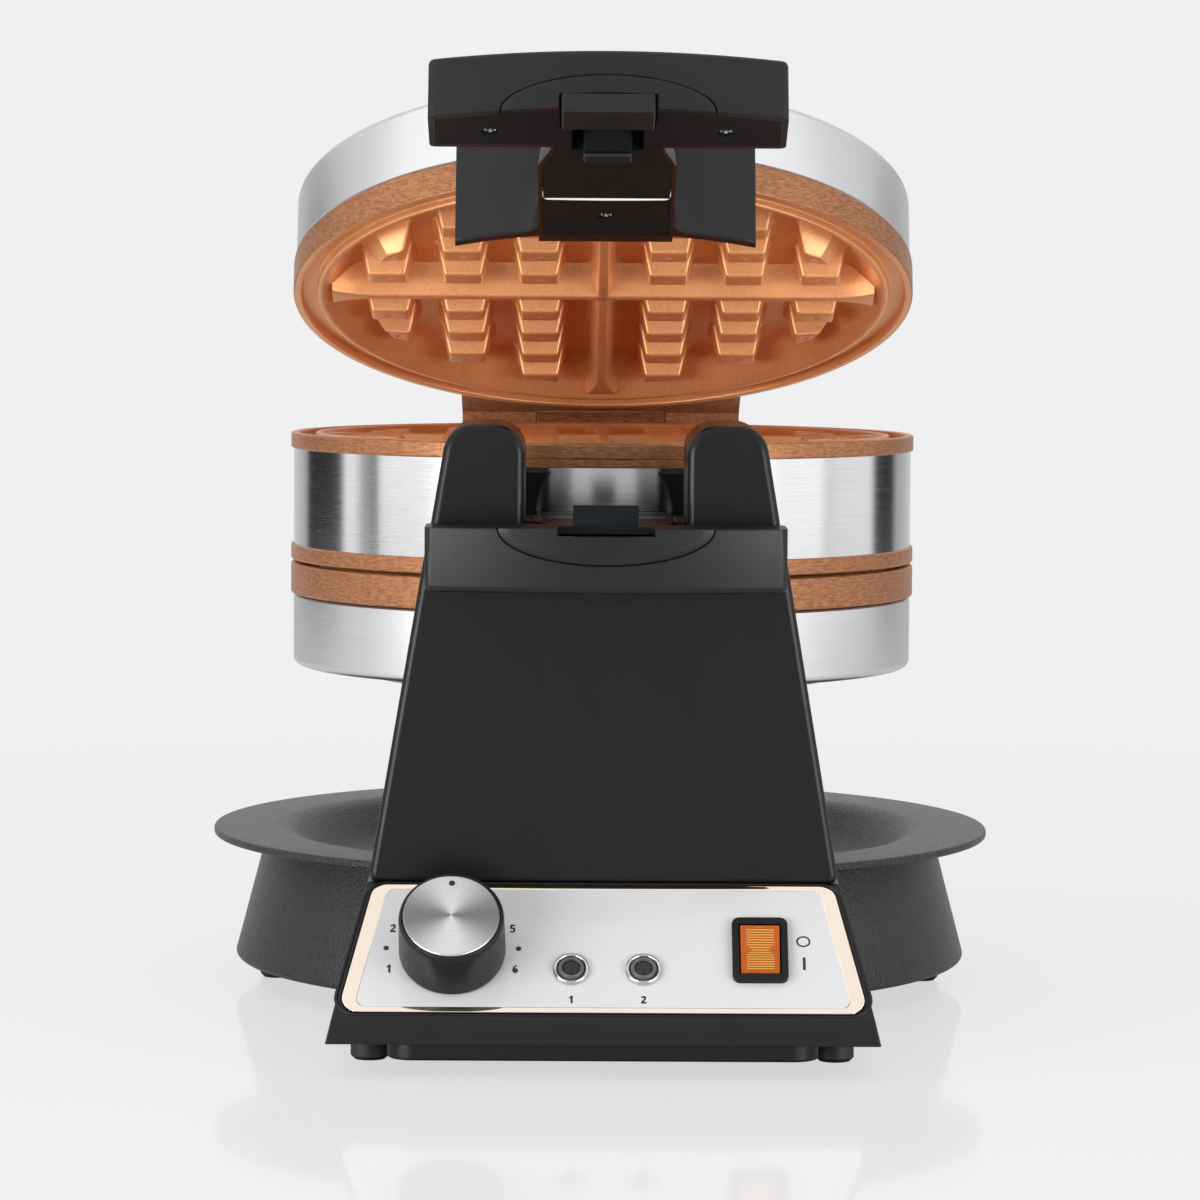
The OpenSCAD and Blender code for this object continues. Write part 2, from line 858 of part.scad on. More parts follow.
// Room for the sliding button and its catch in the latch's own handle
module latch_room() {
    translate([-slot_half, -bar_front_r - 4, -over])
        cube([2 * slot_half, 4 + button_depth + button_travel + latch_gap, button_h + 0.5 + over]);
    translate([-tab_w / 2 - 1, -riser_front - latch_gap, -over])
        cube([tab_w + 2, riser_front + latch_gap - channel_back, stem_high + 0.5 + over]);
}

// Room in the other handle: notch for the button, pocket and undercut for the catch
module keeper_room() {
    half = catch_w / 2 + 0.5;
    translate([-slot_half, -bar_front_r - 4, -over])
        cube([2 * slot_half, 4 + button_depth + button_travel + latch_gap, over + button_drop + latch_gap]);
    translate([-half, -catch_front - 0.6, -over])
        cube([2 * half, catch_front + 0.6 - channel_back, over + catch_drop + 0.8]);
    translate([-half, -catch_front - catch_lip - 0.8, catch_drop - catch_lip - 0.5])
        cube([2 * half, catch_lip + 3, catch_lip + 1.3]);
}

module keeper_tab() {
    translate([-tab_w / 2, -tab_back - tab_t, -tab_h])
        cube([tab_w, tab_t, tab_h + plate_h]);
}

// Sliding button: front block, riser and stem over the keeper tab, catch with its lip
module release_button() {
    half = catch_w / 2;
    catch_back = catch_front - catch_t;
    color([0.22, 0.22, 0.22]) lid_open() {
        translate([-button_w / 2, -bar_front_r - button_proud, -button_drop])
            cube([button_w, button_depth + button_proud, button_h + button_drop]);
        translate([-half, -riser_front, 0])
            cube([catch_w, riser_front - button_back, stem_high]);
        translate([-half, -riser_front, stem_low])
            cube([catch_w, riser_front - catch_back, stem_high - stem_low]);
        translate([-half, -catch_front, -catch_drop])
            cube([catch_w, catch_t, catch_drop + stem_high]);
        translate([-half, -catch_front - catch_lip, -catch_drop])
            cube([catch_w, catch_lip + 0.6, catch_lip]);
    }
}

module handle_shell() {
    difference() {
        bare_handle();
        translate([0, 0, -3 * over]) linear_extrude(plate_h + 3 * over + 0.1) plate_outline();
        translate([0, -bar_front_r / 2 - over, -bar_h / 2 + mating_gap / 2])
            cube([2 * bar_w, bar_front_r, bar_h], center = true);
        difference() {
            translate([0, -apron_r, 0]) cube([2 * apron_w, apron_r / 2, 2 * apron_low], center = true);
            translate([0, -apron_r, 0]) cube([2 * neck_r, apron_r, 3 * apron_low], center = true);
        }
        inlay_pocket();
        children();
    }
}

module top_lid_plate() {
    color("peru") lid_open() lid_plate();
}

module top_lid_cap() {
    color("silver") lid_open() lid_cap();
}

module top_lid_heater() {
    color("dimgray") lid_open() lid_heater();
}

module top_handle() {
    color([0.15, 0.15, 0.15]) lid_open() handle_shell() latch_room();
}

module top_handle_plate() {
    color([0.1, 0.1, 0.1]) lid_open()
        difference() {
            handle_plate();
            latch_room();
            screw_holes();
            wire_groove();
        }
}

module top_inlay() {
    color([0.12, 0.12, 0.12]) lid_open()
        difference() {
            inlay_form();
            latch_room();
        }
}

module top_handle_screws() {
    color("dimgray") lid_open() handle_screws();
}

module top_wire_clip() {
    color("lightgray") lid_open() wire_clip();
}

module bottom_lid_plate() {
    color("peru") at_head() underside() lid_plate();
}

module bottom_lid_cap() {
    color("silver") at_head() underside() lid_cap();
}

module bottom_lid_heater() {
    color("dimgray") at_head() underside() lid_heater();
}

module bottom_handle() {
    color([0.15, 0.15, 0.15]) at_head() underside() handle_shell() keeper_room();
}

module bottom_handle_plate() {
    color([0.1, 0.1, 0.1]) at_head() underside()
        union() {
            difference() {
                handle_plate();
                keeper_room();
                screw_holes();
                wire_groove();
            }
            keeper_tab();
        }
}

module bottom_inlay() {
    color([0.12, 0.12, 0.12]) at_head() underside()
        difference() {
            inlay_form();
            keeper_room();
        }
}

module bottom_handle_screws() {
    color("dimgray") at_head() underside() handle_screws();
}

module bottom_wire_clip() {
    color("lightgray") at_head() underside() wire_clip();
}

// ---------- tower and base ----------

// Half the tower's width, and the place of its back, at a height above the table
function tower_half(z) =
    (tower_foot_w + (tower_top_w - tower_foot_w) * (z - tower_joint) / (tower_top - tower_joint)) / 2;
function tower_back(z) =
    tower_back_low + (tower_back_high - tower_back_low) * (z - tower_joint) / (tower_top - tower_joint);

module tower_corners(z, inset = 0) {
    r = tower_round;
    x = tower_half(z) - r - inset;
    for (side = [-1, 1]) {
        translate([side * x, -tower_front + r + inset, z]) sphere(r, $fn = 16);
        translate([side * x, -tower_back(z) - r - inset, z]) sphere(r, $fn = 16);
    }
}

// A round-edged disc standing in the x-z plane, which rounds the top of an arm
module arm_crown(x, y, z) {
    translate([x, y, z]) rotate([90, 0, 0])
        rotate_extrude($fn = 32) translate([arm_round - tower_round, 0]) circle(tower_round, $fn = 16);
}

module fork_arm() {
    inset = 0.4;
    foot_z = axis_z - arm_root;
    crown_z = tower_top - arm_round;
    inner = fork_half_gap + 0.2;
    outer_crown = tower_half(crown_z) - inset - arm_round;
    front = -tower_front + tower_round + inset;
    hull() {
        for (y = [front, -tower_back(crown_z) - tower_round - inset]) {
            arm_crown(inner + arm_round, y, crown_z);
            arm_crown(outer_crown, y, crown_z);
        }
        for (y = [front, -tower_back(foot_z) - tower_round - inset])
            for (x = [inner + tower_round, tower_half(foot_z) - inset - tower_round])
                translate([x, y, foot_z]) sphere(tower_round, $fn = 16);
    }
}

module control_tower() {
    body_top = axis_z - arm_root + arm_lap;
    lip_r = neck_r - 1.7;
    color([0.16, 0.15, 0.16]) at_floor() {
        difference() {
            translate([-fork_half_gap - over, -tower_front + 0.4, axis_z - fork_half_gap - 3])
                cube([2 * fork_half_gap + 2 * over, fork_lip_t, fork_half_gap + 2]);
            translate([0, 0, axis_z]) long_bar(lip_r, -tower_front - over, -tower_back_high);
        }
        difference() {
            hull() {
                tower_corners(tower_joint + tower_round);
                tower_corners(body_top - tower_round);
            }
            translate([0, 0, axis_z]) long_bar(fork_half_gap, -tower_front - over, -tower_back_high + 2 * over);
        }
        fork_arm();
        mirror([1, 0, 0]) fork_arm();
    }
}

// Half-round liner in the fork, under the neck
module fork_saddle() {
    color([0.08, 0.08, 0.08]) at_head()
        difference() {
            long_bar(fork_half_gap - 0.05, -saddle_front, -saddle_back);
            long_bar(saddle_r, -saddle_front - over, -saddle_back + over);
            translate([0, 0, fork_half_gap + over])
                cube([4 * fork_half_gap, 4 * saddle_front, 2 * (fork_half_gap + over)], center = true);
        }
}

// Outline of the round base, from its foot up to the tray
module base_outline(grow = 0) {
    polygon([
        [0, round_low - grow], [base_foot_r - 1.2 + grow, round_low - grow],
        [base_foot_r + grow, round_low + 1.4], [base_top_r + 1 + grow, base_top - 5],
        [base_top_r + grow, base_top + grow], [0, base_top + grow]
    ]);
}

module base_housing() {
    color([0.13, 0.13, 0.13]) at_floor() {
        difference() {
            rotate_extrude() base_outline();
            translate([0, 0, base_top - dish_depth - tray_t])
                cylinder(r = dish_r + 1.5, h = dish_depth + 10);
        }
    }
}

// Side view of the front housing, with the sloping panel face
module front_side_view() {
    polygon([
        [-front_reach, base_low], [-front_reach, base_low + lip_h - 0.6],
        [-front_reach + 0.4, base_low + lip_h + 1],
        [panel_mid_y - panel_run / 2, panel_mid_z - panel_rise / 2],
        [panel_mid_y + panel_run / 2, panel_mid_z + panel_rise / 2],
        [-tower_back_low, tower_joint],
        [-tower_back_low, base_top - 0.2], [-base_top_r + 30, base_top - 0.2],
        [-base_top_r + 30, base_low]
    ]);
}

module front_front_view() {
    half_foot = front_foot_w / 2;
    half_top = tower_foot_w / 2 + 0.2;
    polygon([
        [-half_foot, base_low], [half_foot, base_low],
        [half_top, tower_joint], [-half_top, tower_joint]
    ]);
}

// Front housing with the sloping panel face, moulded round the round base
module console_housing() {
    color([0.13, 0.13, 0.13])
        difference() {
            at_floor()
                difference() {
                    intersection() {
                        side_extrude(front_foot_w + 10) front_side_view();
                        front_extrude(-front_reach - over, -base_top_r + 25) front_front_view();
                    }
                    rotate_extrude() base_outline(seat_gap);
                }
            on_panel() translate([0, 0, -panel_sink])
                linear_extrude(10)
                    rounded_plate(panel_low_w / 2 + 0.3, panel_top_w / 2 + 0.3, panel_len + 0.6, panel_round + 0.3);
            on_panel(-knob_x, -knob_drop) translate([0, 0, -13]) cylinder(r = thermostat_r + seat_gap, h = 20);
            on_panel(switch_x, -switch_drop) translate([-switch_w / 2 + 1.5, -switch_l / 2 + 1.5, -16])
                cube([switch_w - 3, switch_l - 3, 30]);
            for (side = [-1, 1])
                on_panel(lamp_x + side * lamp_pitch / 2, -lamp_drop) translate([0, 0, -8])
                    cylinder(r = lamp_r - 1, h = 20);
        }
}

// Low block behind the round base, which carries the bearing post
module rear_housing() {
    color([0.13, 0.13, 0.13]) at_floor()
        difference() {
            translate([0, 0, base_low])
                linear_extrude(rear_top - base_low)
                    union() {
                        translate([-rear_w / 2, rear_root]) square([rear_w, back_reach - rear_round - rear_root]);
                        translate([-rear_w / 2 + rear_round, rear_root])
                            square([rear_w - 2 * rear_round, back_reach - rear_root]);
                        for (side = [-1, 1])
                            translate([side * (rear_w / 2 - rear_round), back_reach - rear_round])
                                circle(rear_round);
                    }
            rotate_extrude() base_outline(seat_gap);
        }
}

// Plate under the base: a disc under the round part, joined to a block under the front housing
module bottom_cover() {
    half = foot_x - foot_r - seat_gap;
    back = -cover_r + cover_lap;
    color([0.1, 0.1, 0.1]) at_floor() {
        translate([0, 0, cover_low]) cylinder(r = cover_r, h = round_low - cover_low);
        difference() {
            translate([0, 0, cover_low])
                linear_extrude(base_low - cover_low)
                    union() {
                        translate([-half + cover_round, -front_reach + cover_round])
                            square([2 * (half - cover_round), back + front_reach - cover_round]);
                        translate([-half, -front_reach + 2 * cover_round])
                            square([2 * half, back + front_reach - 2 * cover_round]);
                        for (side = [-1, 1])
                            translate([side * (half - cover_round), -front_reach + 2 * cover_round])
                                circle(cover_round);
                    }
            translate([0, 0, round_low]) cylinder(r = base_foot_r + seat_gap, h = base_low);
        }
    }
}

module feet() {
    color([0.05, 0.05, 0.05]) at_floor()
        for (spot = foot_spots) {
            high = spot[2];
            translate([spot[0], spot[1], 0])
                rotate_extrude()
                    polygon([[0, 0], [foot_r - foot_edge, 0], [foot_r, foot_edge], [foot_r, high], [0, high]]);
        }
}

module rear_post() {
    head_half = bush_r + 9;
    color([0.14, 0.14, 0.14]) at_floor()
        difference() {
            front_extrude(post_front, post_back)
                    union() {
                        translate([0, axis_z]) circle(head_half);
                        polygon([
                            [-post_foot_w / 2, rear_top], [post_foot_w / 2, rear_top],
                            [head_half, axis_z - 6], [-head_half, axis_z - 6]
                        ]);
                    }
            translate([0, 0, axis_z]) long_bar(bush_r, post_front - over, post_back + over);
        }
}

module rear_bush() {
    color("tan") at_head()
        difference() {
            long_bar(bush_r, post_front, post_back);
            long_bar(trunnion_r + trunnion_clear, post_front - over, post_back + over);
        }
}

module drip_tray() {
    top = tray_rest + tray_t;
    floor_z = top - dish_depth;
    color([0.2, 0.2, 0.2]) at_floor()
        rotate_extrude()
            polygon([
                [0, floor_z - tray_t], [dish_floor_r + 1, floor_z - tray_t],
                [dish_r - 2, tray_rest], [tray_r - 1, tray_rest], [tray_r, tray_rest + 0.8], [tray_r, top - 0.8],
                [tray_r - 1, top], [dish_r, top], [dish_floor_r, floor_z], [0, floor_z]
            ]);
}

// ---------- controls ----------

module trim_outline() {
    rounded_plate(panel_low_w / 2, panel_top_w / 2, panel_len, panel_round);
}

module plate_face_outline(grow = 0) {
    cut = trim_w - grow;
    rounded_plate(panel_low_w / 2 - cut, panel_top_w / 2 - cut, panel_len - 2 * cut, panel_round - cut);
}

module panel_openings() {
    translate([-knob_x, -knob_drop, -5]) cylinder(r = shaft_r + 0.5, h = 10);
    translate([switch_x - switch_w / 2 + 1.5, -switch_drop - switch_l / 2 + 1.5, -5])
        cube([switch_w - 3, switch_l - 3, 10]);
    for (side = [-1, 1])
        translate([lamp_x + side * lamp_pitch / 2, -lamp_drop, -5]) cylinder(r = lamp_r - 1, h = 10);
}

module panel_plate() {
    color("whitesmoke") on_panel()
        difference() {
            translate([0, 0, -panel_sink]) linear_extrude(panel_t) plate_face_outline();
            panel_openings();
        }
}

module panel_trim() {
    color("rosybrown") on_panel()
        translate([0, 0, -panel_sink])
            linear_extrude(panel_t)
                difference() {
                    trim_outline();
                    plate_face_outline(0.05);
                }
}

module lamp_bezels() {
    color("lightgray")
        for (side = [-1, 1])
            on_panel(lamp_x + side * lamp_pitch / 2, -lamp_drop)
                difference() {
                    union() {
                        translate([0, 0, panel_face]) cylinder(r = lamp_r, h = 1.6);
                        translate([0, 0, -6]) cylinder(r = lamp_r - 1.05, h = 7);
                    }
                    translate([0, 0, -7]) cylinder(r = lamp_r - 1.8, h = 12);
                }
}

module lamp_lenses() {
    color("dimgray")
        for (side = [-1, 1])
            on_panel(lamp_x + side * lamp_pitch / 2, -lamp_drop)
                translate([0, 0, -6]) cylinder(r = lamp_r - 1.85, h = panel_face + 6 + 2.2);
}

module switch_frame() {
    pocket_depth = 9;
    color([0.15, 0.15, 0.15]) on_panel(switch_x, -switch_drop)
        difference() {
            union() {
                translate([0, 0, panel_face]) linear_extrude(2)
                    hull()
                        for (sx = [-1, 1]) for (sy = [-1, 1])
                            translate([sx * (switch_w / 2 - 2.4), sy * (switch_l / 2 - 2.4)]) circle(2.4, $fn = 32);
                translate([-switch_w / 2 + 1.6, -switch_l / 2 + 1.6, -14])
                    cube([switch_w - 3.2, switch_l - 3.2, 14 + panel_face + 0.5]);
            }
            translate([-rocker_w / 2 - 0.4, -rocker_l / 2 - 0.8, panel_face + 2 - pocket_depth])
                cube([rocker_w + 0.8, rocker_l + 1.6, pocket_depth + over]);
            translate([0, 0, panel_face - 2]) cross_bar(1.25, switch_w - 3.4);
        }
}

// Rocker: a curved amber key on a cross pin
module rocker() {
    pivot = panel_face - 2;
    color("orange") on_panel(switch_x, -switch_drop)
        translate([0, 0, pivot]) rotate([rocker_angle, 0, 0]) {
            side_extrude(rocker_w)
                polygon([
                    [-rocker_l / 2, 1.4], [-rocker_l / 2 + 0.3, 4.6], [-3, 4.3], [0, 3.9], [3, 4.3],
                    [rocker_l / 2 - 0.3, 4.6], [rocker_l / 2, 1.4], [2, -2], [-2, -2]
                ]);
            cross_bar(1.2, switch_w - 3.6);
        }
}

module thermostat() {
    color("gray") on_panel(-knob_x, -knob_drop)
        difference() {
            translate([0, 0, -12.5]) cylinder(r = thermostat_r, h = 10.6);
            translate([0, 0, -11]) cylinder(r = shaft_r - 0.6 + 0.05, h = 12);
        }
}

module control_shaft() {
    color("lightgray") on_panel(-knob_x, -knob_drop) {
        translate([0, 0, -10.5]) cylinder(r = shaft_r - 0.6, h = 9);
        translate([0, 0, -1.6]) cylinder(r = shaft_r, h = 10);
    }
}

module browning_knob() {
    base = panel_face + knob_gap;
    cap_seat = base + knob_h - 1;
    color([0.12, 0.12, 0.12]) on_panel(-knob_x, -knob_drop)
        difference() {
            translate([0, 0, base])
                rotate_extrude()
                    polygon([
                        [0, 0], [knob_r - 0.6, 0], [knob_r, 0.8], [knob_r - 0.3, knob_h - 1.2],
                        [knob_edge, knob_h], [0, knob_h]
                    ]);
            translate([0, 0, cap_seat]) cylinder(r = knob_cap_r + 0.05, h = 5);
            translate([0, 0, -5]) cylinder(r = shaft_r, h = 5 + 8.4);
        }
}

module knob_cap() {
    base = panel_face + knob_gap;
    color("gainsboro") on_panel(-knob_x, -knob_drop)
        translate([0, 0, base + knob_h - 1])
            rotate_extrude() polygon([[0, 0], [knob_cap_r, 0], [knob_cap_r, 1], [knob_cap_r - 0.4, 1.4], [0, 1.4]]);
}

base_housing();
console_housing();
rear_housing();
bottom_cover();
feet();
control_tower();
fork_saddle();
rear_post();
rear_bush();
panel_plate();
panel_trim();
lamp_bezels();
lamp_lenses();
switch_frame();
thermostat();
rocker();
browning_knob();
knob_cap();
control_shaft();
drip_tray();
middle_band();
upper_plate();
lower_plate();
upper_heater();
lower_heater();
front_yoke();
rear_frame();
trunnion();
trunnion_collar();
top_hinge_pin();
bottom_hinge_pin();
bottom_lid_plate();
bottom_lid_cap();
bottom_lid_heater();
bottom_handle();
bottom_handle_plate();
bottom_inlay();
bottom_handle_screws();
bottom_wire_clip();
top_lid_plate();
top_lid_cap();
top_lid_heater();
top_handle();
top_handle_plate();
top_inlay();
top_handle_screws();
top_wire_clip();
release_button();
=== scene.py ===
import json
import math
import bmesh
import bpy
import numpy as np
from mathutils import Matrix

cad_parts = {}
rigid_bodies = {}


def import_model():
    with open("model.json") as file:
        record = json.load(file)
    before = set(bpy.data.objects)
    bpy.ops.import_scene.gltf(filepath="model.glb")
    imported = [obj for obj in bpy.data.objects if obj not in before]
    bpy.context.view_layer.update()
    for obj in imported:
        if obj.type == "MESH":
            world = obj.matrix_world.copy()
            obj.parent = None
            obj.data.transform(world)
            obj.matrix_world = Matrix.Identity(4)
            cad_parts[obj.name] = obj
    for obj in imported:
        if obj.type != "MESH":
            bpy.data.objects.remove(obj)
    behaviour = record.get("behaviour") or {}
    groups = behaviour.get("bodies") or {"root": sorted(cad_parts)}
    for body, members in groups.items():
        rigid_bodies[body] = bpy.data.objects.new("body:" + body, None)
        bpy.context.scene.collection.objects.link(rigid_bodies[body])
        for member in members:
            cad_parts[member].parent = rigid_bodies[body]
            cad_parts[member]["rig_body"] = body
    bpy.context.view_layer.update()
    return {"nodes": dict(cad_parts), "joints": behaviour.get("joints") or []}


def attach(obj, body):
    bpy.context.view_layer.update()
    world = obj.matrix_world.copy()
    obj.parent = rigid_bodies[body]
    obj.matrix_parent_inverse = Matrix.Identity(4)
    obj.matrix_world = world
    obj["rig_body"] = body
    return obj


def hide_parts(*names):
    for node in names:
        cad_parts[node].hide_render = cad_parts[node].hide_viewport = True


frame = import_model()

joints = {j["name"]: j for j in frame["joints"]}
HEAD = np.array(joints["head_turn"]["pos_m"], float)
HINGE = np.array(joints["top_lid_hinge"]["pos_m"], float)
LID_OPEN = math.radians(-joints["top_lid_hinge"]["range_deg"][0])
KNOB = np.array(joints["browning_knob_turn"]["pos_m"], float)
PANEL_OUT = np.array(joints["browning_knob_turn"]["axis"], float)
PANEL_UP = np.array([0.0, PANEL_OUT[2], -PANEL_OUT[1]])
PANEL_ACROSS = np.array([1.0, 0.0, 0.0])

# sizes in millimetres, about the middle of the closed head or of the panel
MID_HALF = 21.7
RIM_R = 106.7
CAVITY_R = 96.5
CAVITY_DEPTH = 12.0
CAVITY_LEAN = 11.0
RING_LOW, RING_HIGH = 22.7, 33.2
CAP_LOW, CAP_HIGH = 33.7, 57.7
PIN_BACK, PIN_UP = 118.0, 19.0
BAR_FRONT_R = 213.0
BAR_BACK = 183.0
BAR_H = 19.6
NECK_R = 21.5
PANEL_FACE = 0.4
PANEL_LOW_HALF, PANEL_TOP_HALF, PANEL_LENGTH = 79.0, 71.5, 46.89
KNOB_X, KNOB_DROP = -46.0, 1.5
SWITCH_X, SWITCH_DROP = 47.7, 1.0
LAMP_X, LAMP_PITCH, LAMP_DROP = 1.2, 22.0, 8.0
ROCKER_TIP = math.radians(8.0)
TABLE_R = 1.9


# ---- camera, light and ground ----

def new_object(name, data):
    ob = bpy.data.objects.new(name, data)
    bpy.context.scene.collection.objects.link(ob)
    return ob


def set_camera():
    """A long lens 1.63 m in front of the head and a little above it, tilted down 4 degrees."""
    data = bpy.data.cameras.new("product_camera")
    data.sensor_width = 36.0
    data.lens = 142.2
    data.clip_end = 50.0
    cam = new_object("product_camera", data)
    cam.location = (-0.0103, HEAD[1] - 1.629, 0.2437)
    cam.rotation_euler = (math.radians(90.0 - 3.97), math.radians(-0.35), math.radians(-0.32))
    bpy.context.scene.camera = cam


def softbox(name, place, aim, size, power):
    """One rectangular soft lamp at place, turned towards aim."""
    data = bpy.data.lights.new(name, "AREA")
    data.shape = "RECTANGLE"
    data.size, data.size_y = size
    data.energy = power
    lamp = new_object(name, data)
    lamp.location = place
    lamp.visible_camera = False
    d = np.array(aim, float) - np.array(place, float)
    lean = math.atan2(math.hypot(d[0], d[1]), -d[2])
    lamp.rotation_euler = (lean, 0.0, math.atan2(d[1], d[0]) - math.pi / 2)


def set_light():
    softbox("left_softbox", (-1.6, -0.75, 0.95), (0, 0, 0.15), (2.0, 2.1), 15.6)
    softbox("right_softbox", (1.7, -0.75, 0.85), (0, 0, 0.15), (1.7, 2.1), 6.5)
    softbox("top_softbox", (0.0, -0.45, 1.8), (0, -0.1, 0.0), (3.0, 2.6), 9)
    softbox("low_left_softbox", (-0.95, -1.15, 0.16), (0, 0, 0.24), (1.0, 0.3), 10)
    softbox("low_right_softbox", (0.95, -1.15, 0.16), (0, 0, 0.24), (1.0, 0.3), 7.5)


def feed(t, socket, value):
    """Links an output socket to an input, or sets the input to a plain value."""
    if isinstance(value, bpy.types.NodeSocket):
        t.links.new(value, socket)
    else:
        socket.default_value = value


def node(t, kind, **settings):
    """One shader node; each setting goes to the socket or the property of that name."""
    n = t.nodes.new("ShaderNode" + kind)
    for key, value in settings.items():
        if key in n.inputs:
            feed(t, n.inputs[key], value)
        else:
            setattr(n, key, value)
    return n


def calc(t, operation, *values):
    """The result of one operation on values or sockets."""
    n = node(t, "Math", operation=operation)
    for socket, value in zip(n.inputs, values):
        feed(t, socket, value)
    return n.outputs[0]


def spread(t, value, low=0.0, high=1.0, start=0.3, end=0.7, curve="LINEAR"):
    """The value's range from start to end, carried over to low to high."""
    return node(t, "MapRange", interpolation_type=curve, Value=value,
                **{"From Min": start, "From Max": end, "To Min": low, "To Max": high}).outputs["Result"]


def mixed(t, factor, a, b, blend="MIX"):
    """Colour a turned into colour b by factor; a colour is a plain value or a socket."""
    n = node(t, "Mix", data_type="RGBA", blend_type=blend, Factor=factor)
    for socket, colour in zip(n.inputs[6:8], (a, b)):
        feed(t, socket, (*colour, 1) if isinstance(colour, tuple) else colour)
    return n.outputs[2]


def ramp(t, value, stops):
    """A colour ramp over value; stops are (position, colour)."""
    n = node(t, "ValToRGB")
    t.links.new(value, n.inputs[0])
    e = n.color_ramp.elements
    e[0].position, e[1].position = stops[0][0], stops[-1][0]
    for k, (position, colour) in enumerate(stops):
        at = e[0] if k == 0 else e[len(e) - 1] if k == len(stops) - 1 else e.new(position)
        at.color = (*colour, 1)
    return n.outputs[0]


def by_angle(stops, blue=1.0):
    """Ramp stops from (degrees from the front, grey level)."""
    return [(angle / 360.0 + 0.5, (level, level, level * blue)) for angle, level in stops]


def set_world():
    """A pale studio. Mirrors also see tall dark flags beside and behind the product, set out by their
    angle from the front, and a darker wall behind the two side lamps."""
    world = bpy.data.worlds.new("studio")
    bpy.context.scene.world = world
    world.use_nodes = True
    t = world.node_tree
    t.nodes.clear()
    way = node(t, "SeparateXYZ", Vector=node(t, "TexCoord").outputs["Generated"]).outputs
    turn = calc(t, "ARCTAN2", way["X"], calc(t, "MULTIPLY", way["Y"], -1.0))
    share = spread(t, turn, 0, 1, -math.pi, math.pi)
    flags = ramp(t, share, by_angle([
        (-180, 0.8), (-152, 0.6), (-143, 0.45), (-141, 0.03), (-113, 0.03), (-110, 1.25), (-103, 1.1),
        (-100, 0.45), (-92, 0.45), (-86, 0.95), (-30, 0.72), (0, 0.62), (30, 0.72), (80, 1.0), (118, 1.1),
        (121, 0.03), (137, 0.03), (140, 0.45), (180, 0.8)], 1.01))
    away_from_level = spread(t, calc(t, "ABSOLUTE", way["Z"]), 0, 1, 0.1, 0.22)
    seen = mixed(t, away_from_level, flags, (0.78, 0.78, 0.79))
    wall = ramp(t, share, by_angle([
        (-180, 1.0), (-98, 1.0), (-91, 0.1), (-38, 0.1), (-31, 1.0), (37, 1.0), (44, 0.78), (88, 0.78),
        (95, 1.0), (180, 1.0)]))
    wall = mixed(t, spread(t, way["Z"], 0, 1, 0.7, 0.86), wall, (1.0, 1.0, 1.0))
    mirrored = mixed(t, 1.0, seen, wall, "MULTIPLY")
    sky = ramp(t, way["Z"], [(0.0, (0.55, 0.55, 0.56)), (0.7, (0.95, 0.95, 0.96))])
    soft = mixed(t, 1.0, sky, (0.5, 0.5, 0.5), "MULTIPLY")
    path = node(t, "LightPath").outputs
    lit = mixed(t, path["Is Glossy Ray"], soft, mirrored)
    plain = mixed(t, path["Is Camera Ray"], lit, (0.87, 0.87, 0.88))
    back = node(t, "Background", Color=plain, Strength=1.0)
    node(t, "OutputWorld", Surface=back.outputs[0])


def mix_shader(t, factor, a, b):
    n = node(t, "MixShader")
    for socket, value in zip(n.inputs, (factor, a, b)):
        t.links.new(value, socket)
    return n.outputs[0]


def set_ground():
    """A round pale table, seen by the camera as two thirds plain light, from 1.05 m outwards wholly and in
    the background's tone; its shine fades out from 0.48 to 0.85 m."""
    me = bpy.data.meshes.new("table_top")
    a = np.linspace(0, 2 * np.pi, 120, endpoint=False)
    rim = np.stack([TABLE_R * np.cos(a), TABLE_R * np.sin(a), 0 * a], -1)
    me.from_pydata(rim.tolist(), [], [list(range(len(rim)))])
    table = new_object("table_top", me)
    m = bpy.data.materials.new("table_paint")
    m.use_nodes = True
    t = m.node_tree
    t.nodes.clear()
    place = node(t, "TexCoord").outputs["Object"]
    away = node(t, "VectorMath", operation="LENGTH", Vector=place).outputs["Value"]
    plain_share = spread(t, away, 0.66, 1.0, 0.55, 1.05, "SMOOTHSTEP")
    pale = mixed(t, spread(t, plain_share, 0, 1, 0.66, 1.0), (0.95, 0.95, 0.96), (0.87, 0.87, 0.88))
    for_camera = calc(t, "MULTIPLY", node(t, "LightPath").outputs["Is Camera Ray"], plain_share)
    dull = node(t, "BsdfDiffuse", Color=(0.88, 0.88, 0.89, 1)).outputs[0]
    polish = node(t, "BsdfGlossy", Color=(0.95, 0.95, 0.95, 1), Roughness=0.08).outputs[0]
    glow = node(t, "Emission", Color=pale, Strength=1.0).outputs[0]
    paint = mix_shader(t, spread(t, away, 0.42, 0.0, 0.48, 0.85, "SMOOTHSTEP"), dull, polish)
    node(t, "OutputMaterial", Surface=mix_shader(t, for_camera, paint, glow))
    me.materials.append(m)


set_camera()
set_light()
set_world()
set_ground()


# ---- finishes ----

def start_finish(name, colour, rough, metal=0.0):
    m = bpy.data.materials.new(name)
    m.use_nodes = True
    t = m.node_tree
    b = t.nodes["Principled BSDF"].inputs
    b["Base Color"].default_value = (*colour, 1)
    b["Roughness"].default_value = rough
    b["Metallic"].default_value = metal
    return m, t, b, node(t, "TexCoord").outputs["Object"]


def noise(t, vector, scale, detail=3.0, rough=0.55):
    return node(t, "TexNoise", Vector=vector, Scale=scale, Detail=detail, Roughness=rough).outputs["Fac"]


